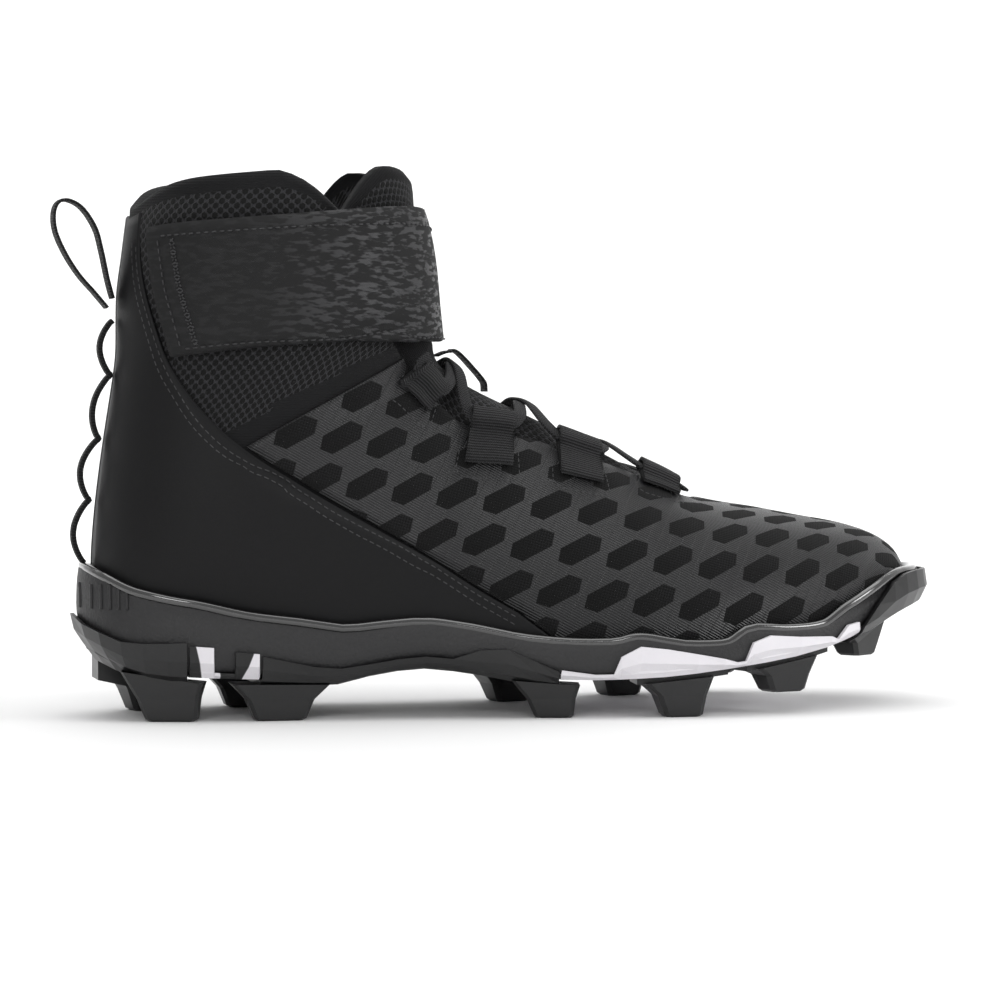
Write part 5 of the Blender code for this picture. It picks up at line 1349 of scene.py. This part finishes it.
def lace_route(side):
    """(row, v, height) along one lace, from the bar up through the loops, crossing between them."""
    tunnel = SHELL_GAP + OVERLAY_THICKNESS + 3 * GAP + LOOP_THICKNESS + LOOP_TUNNEL / 2
    reach = LOOP_WIDTH / 2
    over = side == LATERAL
    start = FIRST_LOOP - reach - 4 * MM
    u, v = lace_place(start, side)
    places = [
        (throat_row(start, side), 1.0, LACE_LIFT),
        (u, v * 0.55 + 0.45, LACE_LIFT + 0.4 * MM),
        (u, v, LACE_LIFT + 1.2 * MM),
    ]
    for centre in LOOP_CENTRES:
        for step, drop in ((-0.95, 0.3 * MM), (-0.4, 0), (0.4, 0), (0.95, 0.3 * MM)):
            places.append((*lace_place(centre + step * reach, side), tunnel - drop))
        if centre == LOOP_CENTRES[-1]:
            break
        low = lace_place(centre + reach * 1.25, side)
        high = lace_place(centre + LOOP_PITCH - reach * 1.25, -side)
        for t in (0.12, 0.35, 0.5, 0.65, 0.88):
            crossing = LACE_THICKNESS * 1.05 if over else 0.1 * MM
            rise = crossing if 0.2 < t < 0.8 else 1.3 * MM
            places.append((between(low[0], high[0], t), between(low[1], high[1], t), LACE_LIFT + rise))
        side = -side
        over = not over
    u, v = lace_place(centre + 1.7 * reach, side)
    return places + [(u, v * 0.8 + 0.2, tunnel - 0.5 * MM)]


def lace_pieces():
    nodes = ["lace_bar"] + [f"lace_crossing_{k}" for k in (1, 2, 3)]
    for number, side in enumerate((LATERAL, MEDIAL)):
        u, v, out = np.array(lace_route(side)).T
        base, top = last_point(u, v, out), last_point(u, v, out + MM)
        line = refine(np.concatenate([base, top - base], 1), 260)
        points, normals = line[:, :3], line[:, 3:]
        obj = tube(f"lace_{number + 1}", points, normals, LACE_WIDTH * 0.95, LACE_THICKNESS, 14, 0.75)
        keep_piece(obj, LACE_CLOTH, *(nodes if number == 0 else []))


# Ribbons down the back and on the tongue

def ribbon(name, points, count, width, thickness, squareness, node):
    """A band along a route in the shoe's middle plane."""
    points = refine(points, count)
    normals = np.cross(np.gradient(points, axis=0), [0, 1, 0])
    keep_piece(tube(name, points, normals, width, thickness, 12, squareness), WEBBING_FINE, node)


def back_pieces():
    foot_z = between(STUD_LENGTH, COLLAR_HEIGHT, PULL_FOOT)
    start = back_x(foot_z) - GAP - PULL_RIBBON_THICKNESS
    points = [(start - p.back * PULL_LOOP_LENGTH, 0.0, foot_z + p.up * PULL_LOOP_LENGTH) for p in PULL_ROUTE]
    ribbon("pull_ribbon", points, 90, PULL_RIBBON_WIDTH, PULL_RIBBON_THICKNESS, 0.35, "pull_loop")
    levels = [between(STUD_LENGTH, COLLAR_HEIGHT, k) for k in CORD_TACKS]
    points = []
    for high, low in zip(levels, levels[1:]):
        for t in np.linspace(0, 1, 24)[: -1 if low != levels[-1] else None]:
            z = between(high, low, t)
            stand_off = HEEL_CORD_BULGE * math.sin(math.pi * t) ** 0.8
            points.append((back_x(z) - SEAT_GAP - HEEL_CORD_THICKNESS / 2 - stand_off, 0.0, z))
    ribbon("scalloped_cord", points, 160, HEEL_CORD_WIDTH, HEEL_CORD_THICKNESS, 0.5, "heel_cord")
    points = []
    for t in np.linspace(0, 1, 30):
        rise = SEAT_GAP + TONGUE_RIBBON_THICKNESS / 2 + TONGUE_RIBBON_RISE * math.sin(math.pi * t) ** 0.45
        points.append(last_point(between(*TONGUE_RIBBON_ENDS, t), 1.0, rise))
    ribbon("tongue_keeper", points, 60, TONGUE_RIBBON_WIDTH, TONGUE_RIBBON_THICKNESS, 0.35, "tongue_ribbon")


# Sole

def lip_points(s, side, tree, z):
    """Where the midsole's lip meets the upper at height z."""
    far, near = (Vector(rim_point(s, side, inset, z) + SHIFT) for inset in (-20 * MM, 20 * MM))
    direction = (near - far).normalized()
    hit, _, _, _ = tree.ray_cast(far, direction, 60 * MM)
    if hit is None:
        return rim_point(s, side, FEATHER_INSET - 1.5 * MM, z)
    return np.array(hit - direction * 0.25 * MM) - SHIFT


RIB_COUNT = 6
FIRST_RIB_X = 0.5 * MM
RIB_PITCH = 2.5 * MM
RIB_FOOT = 37 * MM
RIB_HEAD = 45 * MM


def heel_ribs():
    """Plain upright ribs moulded on the outer side of the heel."""
    tree = shoe_tree(["midsole_cup"])
    for number in range(RIB_COUNT):
        points, normals = [], []
        for z in np.linspace(RIB_FOOT, RIB_HEAD, 7):
            start = np.array([FIRST_RIB_X + number * RIB_PITCH, -80 * MM, z]) + SHIFT
            place, normal, _, _ = tree.ray_cast(Vector(start), Vector((0, 1, 0)))
            if place is not None:
                points.append(np.array(place) - SHIFT)
                normals.append(np.array(normal))
        if len(points) > 2:
            keep_piece(tube(f"heel_rib_{number + 1}", points, normals, 1.3 * MM, 1.1 * MM, 8, 0.8), FOAM)


WALL_LEVELS = [1.0, 0.95, 0.88, 0.8, 0.7, 0.58, 0.45, 0.32, 0.2, 0.1, 0.03]
WALL_STATIONS = 150
LIP_WIDTH = 2.4 * MM
LIP_FOOT = 0.55
ROLL_WIDTH = 3.2 * MM
ROLL_THICKNESS = 3.4 * MM


def midsole_half(s, side, tree):
    """One side of the cup at station s, lip to floor, and the rolled lip's middle and normal."""
    x = float(outline_point(s, side)[0])
    low, top = midsole_floor(x), lip_height(x)
    inside = lip_points(s, side, tree, top - 0.4 * MM)
    outward = rim_point(s, side, 0, 0) - rim_point(s, side, 1, 0)
    walls = []
    for t in WALL_LEVELS:
        point = wall_point(s, side, between(low, top, t))
        room = (point - inside)[:2] @ outward[:2]
        least = LIP_WIDTH * np.clip((t - LIP_FOOT) / 0.4, 0, 1)
        if t > LIP_FOOT and room < least:
            point = point + outward * (least - room) * np.array([1, 1, 0])
        walls.append(point)
    middle = between(inside, walls[0], 0.65) - np.array([0, 0, 0.5 * MM])
    half = [inside - np.array([0, 0, 4 * MM]), inside, *walls, floor_corner(s, side)]
    return half, np.concatenate([middle, outward * 0.5 + np.array([0, 0, 0.9])])


def midsole_piece():
    """Cupped midsole with a rolled glossy lip."""
    tree = shoe_tree(["heel_panel", "vamp_film", "bootie"])
    grid, lips = [], []
    for s in np.arange(WALL_STATIONS + 1) / WALL_STATIONS:
        lateral, lateral_lip = midsole_half(s, LATERAL, tree)
        medial, medial_lip = midsole_half(s, MEDIAL, tree)
        lips.append((lateral_lip, medial_lip))
        grid.append(lateral + [(lateral[-1] + medial[-1]) / 2] + medial[::-1])
    grid = np.array(grid)
    rows, columns = grid.shape[:2]
    starts = [i * columns + j for i in range(rows - 1) for j in range(columns - 1)]
    faces = [(k, k + columns, k + columns + 1, k + 1) for k in starts]
    keep_piece(mesh_object("midsole_cup", grid.reshape(-1, 3), faces), FOAM, "midsole")
    lateral_lips, medial_lips = zip(*lips)
    line = refine(lateral_lips + medial_lips[-2:0:-1], 420, closed=True)
    heel_ribs()
    keep_piece(tube("rolled_lip", line[:, :3], line[:, 3:], ROLL_WIDTH, ROLL_THICKNESS, 12, 1.0), LIP_RUBBER)


# Camera, lights and floor

CAMERA_AZIMUTH = math.radians(-14)
CAMERA_ELEVATION = math.radians(2.1)
CAMERA_DISTANCE = 1.3
CAMERA_LENS = 137.1
AIM = Vector((0.145, 0.0, 0.071)) + Vector(SHIFT)
STAGE_SIZE = 3.0
STAGE_HEIGHT = 2.6
STAGE_TURN = 0.5
WORLD_STRENGTH = 0.55


def place_object(name, data, location, aim):
    """Adds an object that looks along its own -Z at a point."""
    obj = bpy.data.objects.new(name, data)
    obj.location = location
    obj.rotation_euler = (Vector(aim) - Vector(location)).to_track_quat("-Z", "Y").to_euler()
    bpy.context.scene.collection.objects.link(obj)
    return obj


def add_camera():
    level = math.cos(CAMERA_ELEVATION)
    back = Vector((
        math.sin(CAMERA_AZIMUTH) * level,
        -math.cos(CAMERA_AZIMUTH) * level,
        math.sin(CAMERA_ELEVATION),
    ))
    data = bpy.data.cameras.new("photo_camera")
    data.lens = CAMERA_LENS
    data.sensor_width = 36
    bpy.context.scene.camera = place_object("photo_camera", data, AIM + back * CAMERA_DISTANCE, AIM)


def add_light(name, place, size, power, aim=(0, 0, 0.08)):
    data = bpy.data.lights.new(name, "AREA")
    data.shape = "RECTANGLE"
    data.size, data.size_y = size
    data.energy = power
    place_object(name, data, place, aim)


def add_stage():
    """Pale floor that curves up into a wall behind the shoe."""
    profile = [(-STAGE_SIZE, 0.0), (STAGE_SIZE - STAGE_TURN, 0.0)]
    for angle in np.linspace(0, math.pi / 2, 13)[1:]:
        profile.append((STAGE_SIZE - STAGE_TURN * (1 - math.sin(angle)), STAGE_TURN * (1 - math.cos(angle))))
    profile.append((STAGE_SIZE, STAGE_HEIGHT))
    points = [(x, y, z) for x in (-STAGE_SIZE * 1.5, STAGE_SIZE * 1.5) for y, z in profile]
    count = len(profile)
    mesh = bpy.data.meshes.new("studio_floor")
    mesh.from_pydata(points, [], [(k, k + 1, count + k + 1, count + k) for k in range(count - 1)])
    mesh.polygons.foreach_set("use_smooth", [True] * len(mesh.polygons))
    floor = bpy.data.objects.new("studio_floor", mesh)
    material = bpy.data.materials.new("studio_white")
    material.use_nodes = True
    shader = material.node_tree.nodes["Principled BSDF"]
    shader.inputs["Base Color"].default_value = (0.93, 0.93, 0.93, 1)
    shader.inputs["Roughness"].default_value = 0.9
    mesh.materials.append(material)
    bpy.context.scene.collection.objects.link(floor)
    world = bpy.data.worlds.new("studio")
    world.use_nodes = True
    background = world.node_tree.nodes["Background"]
    background.inputs["Color"].default_value = (1, 1, 1, 1)
    background.inputs["Strength"].default_value = WORLD_STRENGTH
    bpy.context.scene.world = world


MESH_CLOTH = spacer_mesh()
STRETCH_CLOTH = stretch_fabric("stretch_fabric")
BINDING_CLOTH = stretch_fabric("binding")
HEEL_SYNTHETIC = smooth_synthetic()
FILM = vamp_film()
STRAP_CLOTH = strap_cloth()
WEBBING = webbing("webbing", 0.016)
WEBBING_FINE = webbing("fine_webbing", 0.010)
LACE_CLOTH = lace_braid()
THREAD = thread()
FOAM = foam_wall()
LIP_RUBBER = glossy_rubber("lip_rubber", 0.17, grey(0.003), grey(0.006), 1.0)
POD_RUBBER = glossy_rubber("pod_rubber", 0.36, grey(0.005, 0.0005), grey(0.009, 0.0005))
WHITE = white_plastic()
INSOLE_CLOTH = stretch_fabric("insole_cloth")

bootie_piece()
quarter_piece()
film_piece()
tongue_piece()
strap_piece()
panel_stitches()
patch_stitches()
loop_pieces()
lace_pieces()
back_pieces()
midsole_piece()

for node in ("heel", "shank", "toe", "ball_lateral", "ball_medial", "fore_lateral", "fore_medial"):
    bpy.data.objects[f"outsole_{node}"].material_slots[0].material = POD_RUBBER
bpy.data.objects["plate"].material_slots[0].material = WHITE
bpy.data.objects["insole"].material_slots[0].material = INSOLE_CLOTH

add_camera()
add_stage()
add_light("overhead", (0.1, 0.1, 1.8), (2.2, 2.0), 21)
add_light("front", (-0.7, -1.9, 1.0), (0.9, 0.6), 9)
add_light("toe_side", (1.5, -0.9, 0.8), (0.7, 0.7), 10)
add_light("backdrop", (0, 1.1, 1.7), (4.0, 0.8), 42, aim=(0, 3.0, 0.3))
bpy.context.scene.view_settings.view_transform = "Standard"
